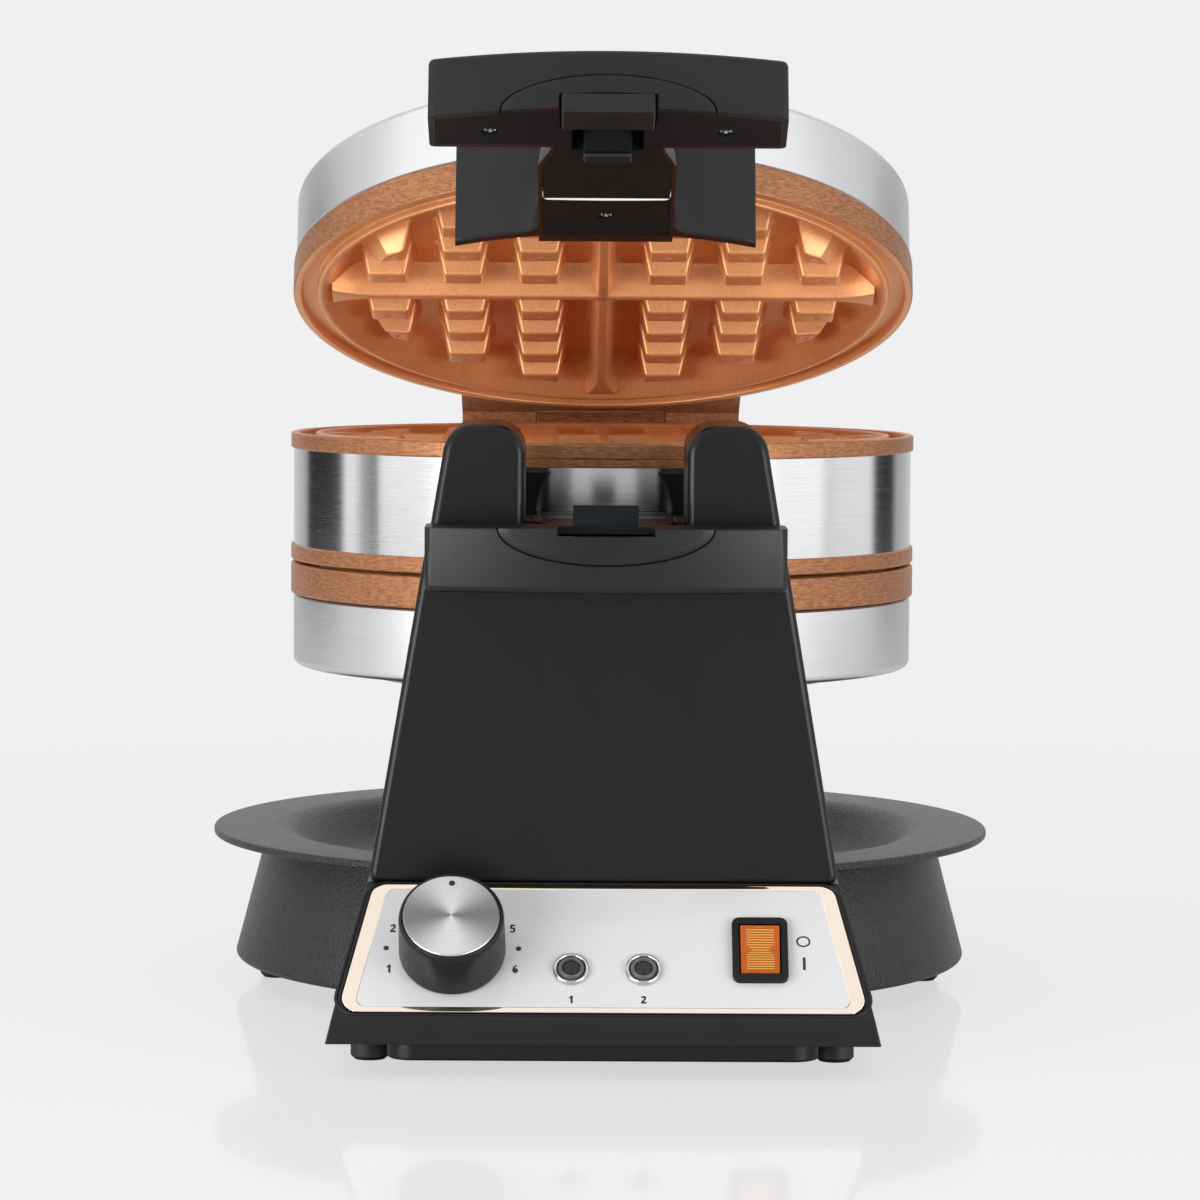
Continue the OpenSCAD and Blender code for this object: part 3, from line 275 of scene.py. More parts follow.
def add_bump(t, b, height, distance):
    """Bump in metres, laid over any bump that is already there."""
    n = node(t, "Bump", Height=height, Distance=distance, Strength=1.0)
    for link in b["Normal"].links:
        t.links.new(link.from_socket, n.inputs["Normal"])
    t.links.new(n.outputs[0], b["Normal"])


def moulded(name, colour, rough, grain=900.0, depth=2e-5, tone=0.12, ior=1.5, metal=0.0):
    """Moulded plastic or plain metal: fine grain, faint clouds of tone and gloss."""
    m, t, b, at = start_finish(name, colour, rough, metal)
    low, high = (tuple(min(1.0, c * k) for c in colour) for k in (1 - tone, 1 + tone))
    feed(t, b["Base Color"], mixed(t, spread(t, noise(t, at, 24.0, 4.0)), low, high))
    feed(t, b["Roughness"], spread(t, noise(t, at, 60.0, 5.0), rough * 0.93, rough * 1.07))
    add_bump(t, b, noise(t, at, grain, 2.0, 0.6), depth)
    b["IOR"].default_value = ior
    return m


def around(t, coord, centre, along, across):
    """Vector of (angle about the upright axis through centre, radius, height), for lines that run round."""
    mapped = node(t, "Mapping", Vector=coord, Location=tuple(-v for v in centre))
    way = node(t, "SeparateXYZ", Vector=mapped.outputs[0]).outputs
    turn = calc(t, "ARCTAN2", way["Y"], way["X"])
    flat = node(t, "CombineXYZ", X=way["X"], Y=way["Y"]).outputs[0]
    radius = node(t, "VectorMath", operation="LENGTH", Vector=flat).outputs["Value"]
    return node(t, "CombineXYZ", X=calc(t, "MULTIPLY", turn, along),
                Y=calc(t, "MULTIPLY", radius, across), Z=calc(t, "MULTIPLY", way["Z"], across)).outputs[0]


def turned_metal(name, colour, rough, along, across, depth, contrast):
    """Metal brushed or spun round the head's axis: fine lines round it vary tone, gloss and height."""
    m, t, b, at = start_finish(name, colour, rough, 1.0)
    fine = noise(t, around(t, at, HEAD, along, across), 1.0, 3.0, 0.7)
    feed(t, b["Base Color"], mixed(t, spread(t, fine), tuple(c * (1 - contrast) for c in colour), colour))
    feed(t, b["Roughness"], spread(t, fine, rough * 0.8, rough * 1.25))
    add_bump(t, b, fine, depth)
    return m


def copper_coat(name, dark, light, streaks=0.0):
    """Copper-coloured coating: metal flake over clouds of tone, or over lines round the rim where streaks
    gives their depth."""
    m, t, b, at = start_finish(name, light, 0.36, 0.5)
    flake = noise(t, at, 4200.0, 1.0, 0.5)
    add_bump(t, b, flake, 1e-5)
    if streaks:
        lines = noise(t, around(t, at, HEAD, 30.0, 1500.0), 1.0, 5.0, 0.7)
        add_bump(t, b, lines, streaks)
        shade = mixed(t, spread(t, lines, 0, 1, 0.38, 0.6), (0.55, 0.48, 0.42), (1.0, 1.0, 1.0))
    else:
        shade = mixed(t, spread(t, noise(t, at, 35.0, 4.0)), (0.86, 0.84, 0.82), (1.0, 1.0, 1.0))
    tone = mixed(t, spread(t, flake, 0, 1, 0.35, 0.65), dark, light)
    feed(t, b["Base Color"], mixed(t, 1.0, tone, shade, "MULTIPLY"))
    feed(t, b["Roughness"], spread(t, flake, 0.3, 0.44))
    return m


def grained(name, scale, depth, gloss):
    """Coarse moulded grain: leathery pits in two sizes that catch the light as fine specks."""
    m, t, b, at = start_finish(name, (0.012, 0.012, 0.0125), gloss)
    pits = node(t, "TexVoronoi", feature="F1", Scale=scale, Vector=at).outputs["Distance"]
    soft = noise(t, at, scale * 2.0, 2.0, 0.6)
    add_bump(t, b, calc(t, "ADD", pits, soft), depth)
    specks = spread(t, noise(t, at, 900.0, 2.0))
    feed(t, b["Roughness"], spread(t, soft, gloss - 0.09, gloss + 0.09))
    feed(t, b["Base Color"], mixed(t, specks, (0.004, 0.004, 0.0042), (0.018, 0.018, 0.0184)))
    b["IOR"].default_value = 1.48
    return m


def spun_disc(name):
    """Spun aluminium: fine rings about the knob's axis, and a painted reflection, a bow tie of tone that fans
    out round it.
    """
    m, t, b, at = start_finish(name, (0.78, 0.78, 0.79), 0.26, 1.0)
    laid_flat = node(t, "VectorRotate", rotation_type="X_AXIS", Vector=at, Center=tuple(KNOB),
                     Angle=math.radians(-47.6)).outputs[0]
    lines = around(t, laid_flat, KNOB, 1.5, 9000.0)
    fine = noise(t, lines, 1.0, 3.0, 0.7)
    turn = node(t, "SeparateXYZ", Vector=lines).outputs["X"]
    # painted reflection: a bow tie fixed on the disc, dark to the left and right of the middle and light
    # above and below
    fan = calc(t, "COSINE", calc(t, "MULTIPLY", turn, 2.0 / 1.5))
    tone = mixed(t, spread(t, fan, 0, 1, -0.9, 1.0), (0.7, 0.7, 0.71), (0.21, 0.21, 0.215))
    rings = mixed(t, spread(t, fine), (0.8, 0.8, 0.8), (1.0, 1.0, 1.0))
    feed(t, b["Base Color"], mixed(t, 1.0, tone, rings, "MULTIPLY"))
    add_bump(t, b, fine, 6e-6)
    return m


# name: material, colour, roughness, grain scale, grain depth, change of tone, refraction, metal
PLAIN = {
    "black_plastic": ("satin_black_plastic", (0.0075, 0.0075, 0.0078), 0.34, 1400.0, 6e-6, 0.08, 1.36),
    "tower_plastic": ("tower_black_plastic", (0.0065, 0.0065, 0.0068), 0.3, 1400.0, 4e-6, 0.04, 1.32),
    "dark_plastic": ("dark_moulded_plastic", (0.0045, 0.0045, 0.0047), 0.4, 1400.0, 8e-6, 0.08, 1.33),
    "button_plastic": ("button_plastic", (0.01, 0.01, 0.0104), 0.42, 1400.0, 1e-5, 0.08, 1.36),
    # painted light: the mating faces' black is tinted blue-green to cancel the copper-coloured light bounced
    # onto them
    "mating_plastic": ("mating_face_plastic", (0.0055, 0.0092, 0.0104), 0.45, 1400.0, 8e-6, 0.08, 1.2),
    # painted shade: near-black for the step behind each plate's rim and the gaps beside the knuckle, where
    # the joints fall in shadow
    "joint_shadow": ("gasket_black", (0.01, 0.008, 0.007), 0.6),
    "drawn_wire": ("drawn_spring_wire", (0.9, 0.9, 0.9), 0.34, 900.0, 5e-6, 0.05),
    "screw_steel": ("blackened_screw_steel", (0.22, 0.22, 0.225), 0.28, 900.0, 8e-6, 0.12, 1.5, 1.0),
    "heater_metal": ("oxidised_sheath", (0.06, 0.06, 0.062), 0.5, 700.0, 2e-5, 0.12, 1.5, 1.0),
    "plain_steel": ("plain_steel", (0.62, 0.62, 0.63), 0.22, 900.0, 5e-6, 0.12, 1.5, 1.0),
    "bush_nylon": ("natural_nylon", (0.42, 0.36, 0.25), 0.5),
    "panel_white": ("glossy_panel_white", (0.61, 0.61, 0.62), 0.1, 300.0, 5e-7, 0.01),
    "trim_mirror": ("polished_rose_trim", (0.82, 0.71, 0.6), 0.05, 300.0, 1e-6, 0.02, 1.5, 1.0),
    "knob_plastic": ("smooth_knob_plastic", (0.007, 0.007, 0.0072), 0.36, 1200.0, 6e-6, 0.08, 1.36),
    "chrome_bezel": ("chrome_bezel", (0.56, 0.57, 0.58), 0.07, 300.0, 1e-6, 0.03, 1.5, 1.0),
    "lamp_lens": ("smoked_lens", (0.014, 0.017, 0.016), 0.12, 300.0, 2e-6, 0.1, 1.38),
    "lamp_edge": ("clear_lens_edge", (0.1, 0.105, 0.1), 0.14, 300.0, 2e-6, 0.2, 1.42),
    "amber_rocker": ("amber_rocker", (0.42, 0.085, 0.005), 0.16, 500.0, 4e-6, 0.12, 1.3),
    "amber_ribs": ("amber_ribs", (0.62, 0.34, 0.07), 0.22, 500.0, 4e-6, 0.1),
    "rubber_foot": ("foot_rubber", (0.006, 0.006, 0.006), 0.55, 900.0, 2e-5),
    "print_black": ("print_black", (0.006, 0.006, 0.006), 0.3, 900.0, 1e-6),
}
FINISH = {name: moulded(*row) for name, row in PLAIN.items()}
FINISH["tray_plastic"] = grained("grained_tray_plastic", 1150.0, 0.00034, 0.29)
FINISH["skirt_plastic"] = grained("fine_grained_skirt_plastic", 1350.0, 0.0002, 0.32)
FINISH["copper_coating"] = copper_coat("copper_coat", (0.7, 0.3, 0.11), (0.97, 0.5, 0.225))
FINISH["copper_rim"] = copper_coat("copper_rim", (0.36, 0.145, 0.06), (0.58, 0.26, 0.115), 7e-5)
FINISH["brushed_steel"] = turned_metal("brushed_band_steel", (0.74, 0.74, 0.75), 0.14, 5.0, 5200.0, 6e-6, 0.2)
FINISH["cap_steel"] = turned_metal("satin_cap_steel", (0.76, 0.76, 0.77), 0.34, 6.0, 7000.0, 4e-6, 0.1)
FINISH["spun_aluminium"] = spun_disc("spun_aluminium_painted_bowtie")


# ---- surfaces ----

def finish_piece(ob, body, stands_for):
    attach(ob, body)
    if stands_for:
        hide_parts(stands_for)


def clean(me, near, level=0.0):
    """Merges points closer than near metres, joins faces that turn by less than level, faces them all
    outwards and shades them smooth."""
    bm = bmesh.new()
    bm.from_mesh(me)
    bmesh.ops.remove_doubles(bm, verts=bm.verts, dist=near)
    if level:
        bmesh.ops.dissolve_limit(bm, angle_limit=level, verts=bm.verts, edges=bm.edges)
    bmesh.ops.recalc_face_normals(bm, faces=bm.faces)
    bm.to_mesh(me)
    bm.free()
    me.shade_smooth()


def make_piece(name, parts, finishes, body, stands_for=None, sharp=40.0, facets=False):
    """One mesh piece from parts of (points in millimetres, faces, marks). Faces are lists of faces or
    arrays of them; a mark says which of the finishes a face has."""
    finishes = [finishes] if isinstance(finishes, str) else finishes
    points, faces, marks, base = [], [], [], 0
    for pts, fcs, *mark in parts:
        mark = mark[0] if mark else 0
        points.append(np.asarray(pts, float))
        for k, f in enumerate(fcs):
            block = np.atleast_2d(np.asarray(f) + base)
            faces.extend(block.tolist())
            marks.extend(np.broadcast_to(mark[k] if isinstance(mark, list) else mark, len(block)).tolist())
        base += len(pts)
    me = bpy.data.meshes.new(name)
    me.from_pydata((np.concatenate(points) / 1000.0).tolist(), [], faces)
    me.polygons.foreach_set("material_index", marks)
    clean(me, 1e-7)
    me.set_sharp_from_angle(angle=math.radians(sharp))
    if facets:
        keep_flat(me, math.cos(math.radians(sharp)))
    for finish in finishes:
        me.materials.append(FINISH[finish])
    finish_piece(new_object(name, me), body, stands_for)


def grid_faces(rows, cols, wrap_rows=False, wrap_cols=False):
    """Quads of a grid of points stored row by row."""
    i = np.arange(rows if wrap_rows else rows - 1)[:, None]
    j = np.arange(cols if wrap_cols else cols - 1)[None, :]
    below, right = (i + 1) % rows, (j + 1) % cols
    corners = [i * cols + j, i * cols + right, below * cols + right, below * cols + j]
    return np.stack(corners, -1).reshape(-1, 4)


def rounded_profile(points, steps=5):
    """A polyline of (a, b, radius) corners; a radius makes a quadratic curve between the points that far
    from the corner on each side."""
    out = []
    pts = [np.array(p[:2], float) for p in points]
    for i, p in enumerate(points):
        r = p[2] if len(p) > 2 else 0.0
        if r <= 0 or i in (0, len(points) - 1):
            out.append(pts[i])
            continue
        before, after = pts[i - 1] - pts[i], pts[i + 1] - pts[i]
        la, lb = np.linalg.norm(before), np.linalg.norm(after)
        start = pts[i] + before / la * min(r, la * 0.49)
        end = pts[i] + after / lb * min(r, lb * 0.49)
        s = np.linspace(0, 1, steps + 1)[:, None]
        out.extend(((1 - s) ** 2 * start + 2 * s * (1 - s) * pts[i] + s ** 2 * end))
    return np.array(out)


def turned(profile, sides=128, closed=False):
    """A profile of (radius, height) turned about the upright axis: x = r cos a, y = r sin a, z = height.
    Radius 0 at an end is a pole, and a closed profile is a loop."""
    profile = np.asarray(profile, float)
    a = np.linspace(0, 2 * np.pi, sides, endpoint=False)
    r = np.repeat(profile[:, :1], sides, 1)
    grid = np.stack([r * np.cos(a), r * np.sin(a), np.repeat(profile[:, 1:2], sides, 1)], -1)
    return grid.reshape(-1, 3), [grid_faces(len(profile), sides, closed, True)]


def loft(rings):
    """Closed outlines of equal length joined one to the next, with a face on the first and the last."""
    rings = np.asarray(rings, float)
    n, m = rings.shape[:2]
    end = np.arange(m)
    return rings.reshape(-1, 3), [grid_faces(n, m, False, True), end[::-1], (n - 1) * m + end]


def fanned(section, angles):
    """A section of (radius, height) swept about the head's axis over angles from the front."""
    return loft([np.stack([section[:, 0] * math.cos(t), section[:, 0] * math.sin(t), section[:, 1]], -1)
                 for t in angles - math.pi / 2])


def arcs(corners, r, per):
    """Points of the corner arcs of radius r; corners are (x, y, start and end of the arc in degrees)."""
    loop = []
    for x, y, start, end in corners:
        a = np.radians(np.linspace(start, end, per + 1))
        loop.append(np.stack([x + r * np.cos(a), y + r * np.sin(a)], -1))
    return np.concatenate(loop)


def rounded_box_outline(half_x, half_y, r, per=4):
    """Loop of a rounded rectangle: a quarter circle of radius r about each corner's centre."""
    x, y = half_x - r, half_y - r
    return arcs(((x, y, 0, 90), (-x, y, 90, 180), (-x, -y, 180, 270), (x, -y, 270, 360)), r, per)


def upright(outline, z):
    return np.concatenate([outline, np.full((len(outline), 1), z)], 1)


def moved(part, shift):
    return (np.asarray(part[0]) + np.asarray(shift, float), *part[1:])


def scaled(part, factors):
    return (np.asarray(part[0]) * np.array(factors, float), *part[1:])


def about_head(part):
    return moved(part, HEAD * 1000.0)


def flipped(part):
    """The part turned half round the front-to-back axis."""
    return scaled(part, (-1, 1, -1))


def turned_in_side_view(part, angle, centre=(0.0, 0.0)):
    """The part turned by angle about the crosswise axis through centre, which is (y, z)."""
    p = np.array(part[0], float)
    y, z = p[:, 1] - centre[0], p[:, 2] - centre[1]
    c, s = math.cos(angle), math.sin(angle)
    p[:, 1] = centre[0] + y * c - z * s
    p[:, 2] = centre[1] + y * s + z * c
    return (p, *part[1:])


def lid_raised(part):
    """The part turned open about the lid hinge; the part is about the head's centre, closed."""
    return turned_in_side_view(part, -LID_OPEN, ((HINGE - HEAD) * 1000.0)[1:])


def on_panel(part, across=0.0, up=0.0):
    """The part laid on the sloping panel: its z is out of the panel and its y up the slope."""
    p = np.asarray(part[0], float)
    origin = KNOB * 1000.0 - PANEL_ACROSS * KNOB_X + PANEL_UP * KNOB_DROP
    q = origin + (np.outer(p[:, 0] + across, PANEL_ACROSS) + np.outer(p[:, 1] + up, PANEL_UP)
                  + np.outer(p[:, 2], PANEL_OUT))
    return (q, *part[1:])


def on_lids(name, node_name, finishes, upper, lower, facets=False):
    """The upper lid's piece, raised with it, and the lower lid's, turned over."""
    make_piece("top_" + name, [about_head(lid_raised(p)) for p in upper], finishes, "top_lid",
               "top_" + node_name, facets=facets)
    make_piece("bottom_" + name, [about_head(flipped(p)) for p in lower], finishes, "head",
               "bottom_" + node_name, facets=facets)


def keep_flat(me, limit):
    """Corner normals weighted by face area, so that broad faces stay flat beside their rounded edges."""
    count, loops = len(me.polygons), len(me.loops)
    area, normal = np.empty(count), np.empty(count * 3)
    total, vert = np.empty(count, int), np.empty(loops, int)
    me.polygons.foreach_get("area", area)
    me.polygons.foreach_get("normal", normal)
    me.polygons.foreach_get("loop_total", total)
    me.loops.foreach_get("vertex_index", vert)
    order = np.argsort(vert, kind="stable")
    v, f = vert[order], np.repeat(np.arange(count), total)[order]
    n = normal.reshape(-1, 3)[f]
    weighted = n * area[f][:, None]
    out = weighted.copy()
    most_faces_at_a_point = 14
    for step in range(1, most_faces_at_a_point):
        for shift in (step, -step):
            wanted = np.arange(loops) + shift
            other = np.clip(wanted, 0, loops - 1)
            same = (wanted == other) & (v[other] == v) & ((n * n[other]).sum(1) > limit)
            out += np.where(same[:, None], weighted[other], 0.0)
    out /= np.maximum(np.linalg.norm(out, axis=1, keepdims=True), 1e-20)
    custom = np.empty((loops, 3))
    custom[order] = out
    me.normals_split_custom_set(custom.tolist())


def eased(node_name, finish, width):
    """A copy of a plain solid with its edges rounded to width in millimetres, or else its broad faces
    kept flat."""
    sharp = math.radians(30.0)
    source = frame["nodes"][node_name]
    me = source.data.copy()
    me.name = node_name + "_eased"
    clean(me, 2e-6, math.radians(0.6))
    me.materials.clear()
    me.materials.append(FINISH[finish])
    ob = new_object(node_name + "_eased", me)
    me.set_sharp_from_angle(angle=sharp)
    if width:
        ease = ob.modifiers.new("eased_edges", "BEVEL")
        ease.width = width / 1000.0
        ease.segments = 2
        ease.limit_method = "ANGLE"
        ease.angle_limit = sharp
        ease.harden_normals = True
    else:
        keep_flat(me, math.cos(sharp))
    finish_piece(ob, source["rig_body"], node_name)


# ---- waffle plates ----

# places of the studs, heights of their foot and tip, radius behind the rim and facets round a plate
COLUMNS = (22.0, 48.0, 74.0)
ROWS = (17.0, 37.5, 58.0, 78.5)
FOOT, TIP = -CAVITY_DEPTH - 0.3, -0.6
STEP_R = 104.3
AROUND = 192


def stud(x, y):
    """One grid stud as a loft up its height: a rounded rectangle that tapers to a flat tip with a small
    dimple, its outer side held inside a circle that shrinks towards the tip."""
    tip_x, tip_y, flare, dimple_r = 6.3, 4.2, 2.9, 4.4
    rings = []
    for z, grow, r in ((FOOT, flare + 1.6, 2.2), (FOOT + 0.5, flare + 0.5, 1.8),
                       (FOOT + 1.7, flare * 0.87, 1.3), (TIP - 0.9, flare * 0.08, 0.9),
                       (TIP - 0.25, -0.15, 0.9), (TIP, -0.75, 0.8)):
        loop = rounded_box_outline(tip_x + grow, tip_y + grow, r, 3) + (x, y)
        limit = 82.5 + 8.5 * (TIP - z) / (TIP - FOOT)
        rings.append(upright(loop * np.minimum(1.0, limit / np.linalg.norm(loop, axis=1))[:, None], z))
    middle = rings[-1][:, :2].mean(0)
    rim = rings[-1][:, :2] - middle
    a = np.linspace(0, 2 * np.pi, len(rim), endpoint=False) + math.pi / 16
    circle = np.stack([np.cos(a), np.sin(a)], -1) * dimple_r
    for loop, size, drop in ((rim, 0.62, 0), (circle, 0.36, 0.02), (circle, 0.3, 0.22), (circle, 0.12, 0.5)):
        rings.append(upright(middle + loop * size, TIP - drop))
    return loft(rings)


def ridge(length):
    """A long rib: its cross-section is a soft trapezoid, and over its last 14 mm it widens into the wall
    by the 2.2th power of the distance run."""
    flare, run = 3.4, 14.0
    t = np.linspace(-1, 1, 28)
    rings = []
    for y in np.sign(t) * (1 - (1 - np.abs(t)) ** 1.5) * length:
        h = 1.8 + 3.6 * max(0.0, (abs(y) - (length - run)) / run) ** 2.2
        side = np.array([[h - 0.8, TIP], [h - 0.25, TIP - 0.22], [h + flare * 0.06, TIP - 0.9],
                         [h + flare * 0.8, FOOT + 2.0], [h + flare, FOOT + 0.5], [h + flare + 1.4, FOOT]])
        rings.append(np.insert(np.concatenate([side[::-1] * (-1, 1), side]), 1, y, axis=1))
    return loft(rings)


def waffle_plate(edge, step_h):
    """A round plate with its mating face at height 0: bowl, sealing lip, channel and rim turned in one
    profile, with ribs and studs. Marks: rim 1, the step behind it 2, which is painted near-black as shade in
    the joint."""
    land, channel, channel_low = CAVITY_R + 1.8, CAVITY_R + 7.2, -2.6
    inside = rounded_profile([
        (0, -CAVITY_DEPTH), (CAVITY_R - CAVITY_LEAN, -CAVITY_DEPTH, 4), (CAVITY_R, 0, 0.8), (land, 0, 0.8),
        (land + 0.2, channel_low, 0.7), (channel, channel_low, 0.7), (channel + 0.2, 0, 0.7), (RIM_R, 0, 0.9),
        (RIM_R, -edge * 0.5)], 4)
    outside = rounded_profile([
        (RIM_R, -edge * 0.5), (RIM_R, -edge, 0.8), (STEP_R, -edge, 0), (STEP_R, -edge - step_h),
        (CAVITY_R, -edge - step_h), (CAVITY_R - CAVITY_LEAN, -CAVITY_DEPTH - 3), (0.0, -CAVITY_DEPTH - 3)], 4)
    # the step faces take the joint_shadow finish: painted near-black shade in the joint between the plates
    at_step = np.abs(outside[:, 0] - STEP_R) < 0.01
    at_rim = inside[1:, 0] > RIM_R - 0.5
    parts = [(*turned(inside, AROUND), [np.repeat(at_rim.astype(int), AROUND)]),
             (*turned(outside, AROUND), [np.repeat(np.where(at_step[:-1] & at_step[1:], 2, 1), AROUND)])]
    rib, rib_faces = ridge(CAVITY_R - 3.2)
    parts += [(rib, rib_faces), (rib[:, [1, 0, 2]] * (1, -1, 1), rib_faces)]
    for x in COLUMNS:
        for y in ROWS:
            if math.hypot(x - 3.0, y - 2.0) < 83.0:
                parts += [stud(sx * x, sy * y) for sx in (-1, 1) for sy in (-1, 1)]
    return parts


def rim_block(points, low, high, reach=None, edge=0.4, stations=12):
    """An outline in the front-to-back plane carried across from low to high, with eased ends; its front
    points lie on a circle of radius reach about the head's middle."""
    p = np.asarray(points, float)
    front = p[:, 0] < p[:, 0].min() + 0.01
    away = p - p.mean(0)
    away /= np.linalg.norm(away, axis=1, keepdims=True)
    rings = []
    for x, inset in [(low, edge), (low + edge * 0.3, edge * 0.3),
                     *((x, 0.0) for x in np.linspace(low + edge, high - edge, stations)),
                     (high - edge * 0.3, edge * 0.3), (high, edge)]:
        q = p - away * inset
        if reach:
            q[front, 0] = math.sqrt(reach ** 2 - x * x)
        rings.append(np.insert(q, 0, x, axis=1))
    return loft(rings)


def eye(r, start, end, count, *foot):
    """Side view of a hinge eye about the pin, with the corners of its foot."""
    points = arcs([(PIN_BACK, PIN_UP, start, end)], r, count - 1)
    return np.concatenate([points, foot]) if foot else points


def mid_plate():
    """A plate of the middle section with its knuckle between two thin dark discs of painted shade, for the
    gaps at its ends, and the lip in front.
    """
    parts = [moved(p, (0, 0, MID_HALF)) for p in waffle_plate(5.4, 3.0)]
    knuckle = eye(6.6, -150, 90, 20, (114.9, 25.6), (114.2, 25.4), (112.6, 24.2), (111.4, MID_HALF - 0.2),
                  (100.0, MID_HALF - 0.2), (100.0, MID_HALF - 5.2), (112.5, MID_HALF - 5.2))
    parts.append((*rim_block(knuckle, -23.5, 23.5, 104.6), 1))
    # thin near-black discs at the knuckle's ends: painted shade in the gaps between the knuckle and the ears
    gap_shade_disc = rim_block(eye(6.5, 0, 351, 40), -0.1, 0.1, None, 0.02, 2)
    parts += [(*moved(gap_shade_disc, (x, 0, 0)), 2) for x in (-23.62, 23.62)]
    lip = np.array([[105.97, 13.75], [106.55, 13.75], [106.68, 14.1], [106.68, 16.5], [105.97, 16.5]])
    parts.append((*fanned(lip, np.linspace(-0.345, 0.345, 40)), 1))
    return parts


def lid_plate():
    """A lid's plate with its two hinge ears and the flange that joins them."""
    parts = [moved(scaled(p, (1, 1, -1)), (0, 0, RING_LOW)) for p in waffle_plate(10.5, 4.0)]
    ear = eye(6, -180, 20, 18, (119.5, RING_HIGH - 1.4), (118.0, RING_HIGH - 0.6), (88, RING_HIGH - 0.6),
              (88, RING_LOW + 0.3), (111.5, RING_LOW + 0.3))
    parts += [(*rim_block(ear, x - 13.5, x + 13.5, 104.2), 1) for x in (-37.25, 37.25)]
    flange = rounded_profile([
        (88, 23.1), (111, 23.1, 0.6), (112.6, 26.1, 0.8), (112.6, 32, 1.2), (88, 32)], 3)
    parts.append((*rim_block(flange, -48.9, 48.9, 104.2), 1))
    return parts


COPPERS = ["copper_coating", "copper_rim", "joint_shadow"]
for side, parts in (("upper", mid_plate()), ("lower", [flipped(p) for p in mid_plate()])):
    make_piece(side + "_waffle_plate", [about_head(p) for p in parts], COPPERS, "head", side + "_plate",
               facets=True)
on_lids("lid_waffle_plate", "lid_plate", COPPERS, lid_plate(), lid_plate(), True)


# ---- caps, band and housings ----

def lid_cap():
    """A pressed cap: wall, small rounded shoulder, flat ring and a dome that is part of a sphere."""
    r, shoulder, start, rise = 105.8, 2.6, 96.0, 12.0
    bow = (start ** 2 + rise ** 2) / (2 * rise)
    sweep = math.asin(start / bow) * np.linspace(0.99, 0, 30)
    dome = np.stack([bow * np.sin(sweep), CAP_HIGH + rise - bow + bow * np.cos(sweep)], -1)
    return turned(np.concatenate([
        [[r - 0.5, CAP_LOW], [r, CAP_LOW + 0.5]],
        arcs([(r - shoulder, CAP_HIGH - shoulder, 0, 90)], shoulder, 8),
        [[start + 1.6, CAP_HIGH], [start + 0.4, CAP_HIGH + 0.06]], dome,
        [[0.0, CAP_HIGH + 10.8], [start - 2, CAP_HIGH - 1.2], [r - 1.2, CAP_HIGH - 4], [r - 1.2, CAP_LOW],
         [r - 0.5, CAP_LOW]]]), 256)


on_lids("cap_spun", "lid_cap", "cap_steel", [lid_cap()], [lid_cap()])

for name, finish, width in (
        ("base_housing", "skirt_plastic", 0.8), ("console_housing", "black_plastic", 1.0),
        ("rear_housing", "black_plastic", 1.0), ("bottom_cover", "dark_plastic", 0.8),
        ("control_tower", "tower_plastic", 0.0), ("fork_saddle", "dark_plastic", 0.3),
        ("rear_post", "black_plastic", 0.8), ("rear_bush", "bush_nylon", 0.3),
        ("panel_plate", "panel_white", 0.12), ("switch_frame", "dark_plastic", 0.5),
        ("middle_band", "brushed_steel", 0.0), ("front_yoke", "dark_plastic", 0.6),
        ("rear_frame", "black_plastic", 0.6), ("trunnion_collar", "plain_steel", 0.2),
        ("bottom_handle_plate", "mating_plastic", 0.25), ("top_handle_plate", "mating_plastic", 0.25),
        ("release_button", "button_plastic", 0.9)):
    eased(name, finish, width)

for finish, names in (
        ("heater_metal", "thermostat upper_heater lower_heater top_lid_heater bottom_lid_heater"),
        ("plain_steel", "trunnion top_hinge_pin bottom_hinge_pin control_shaft"), ("rubber_foot", "feet")):
    for name in names.split():
        materials = frame["nodes"][name].data.materials
        materials.clear()
        materials.append(FINISH[finish])


# ---- handles ----

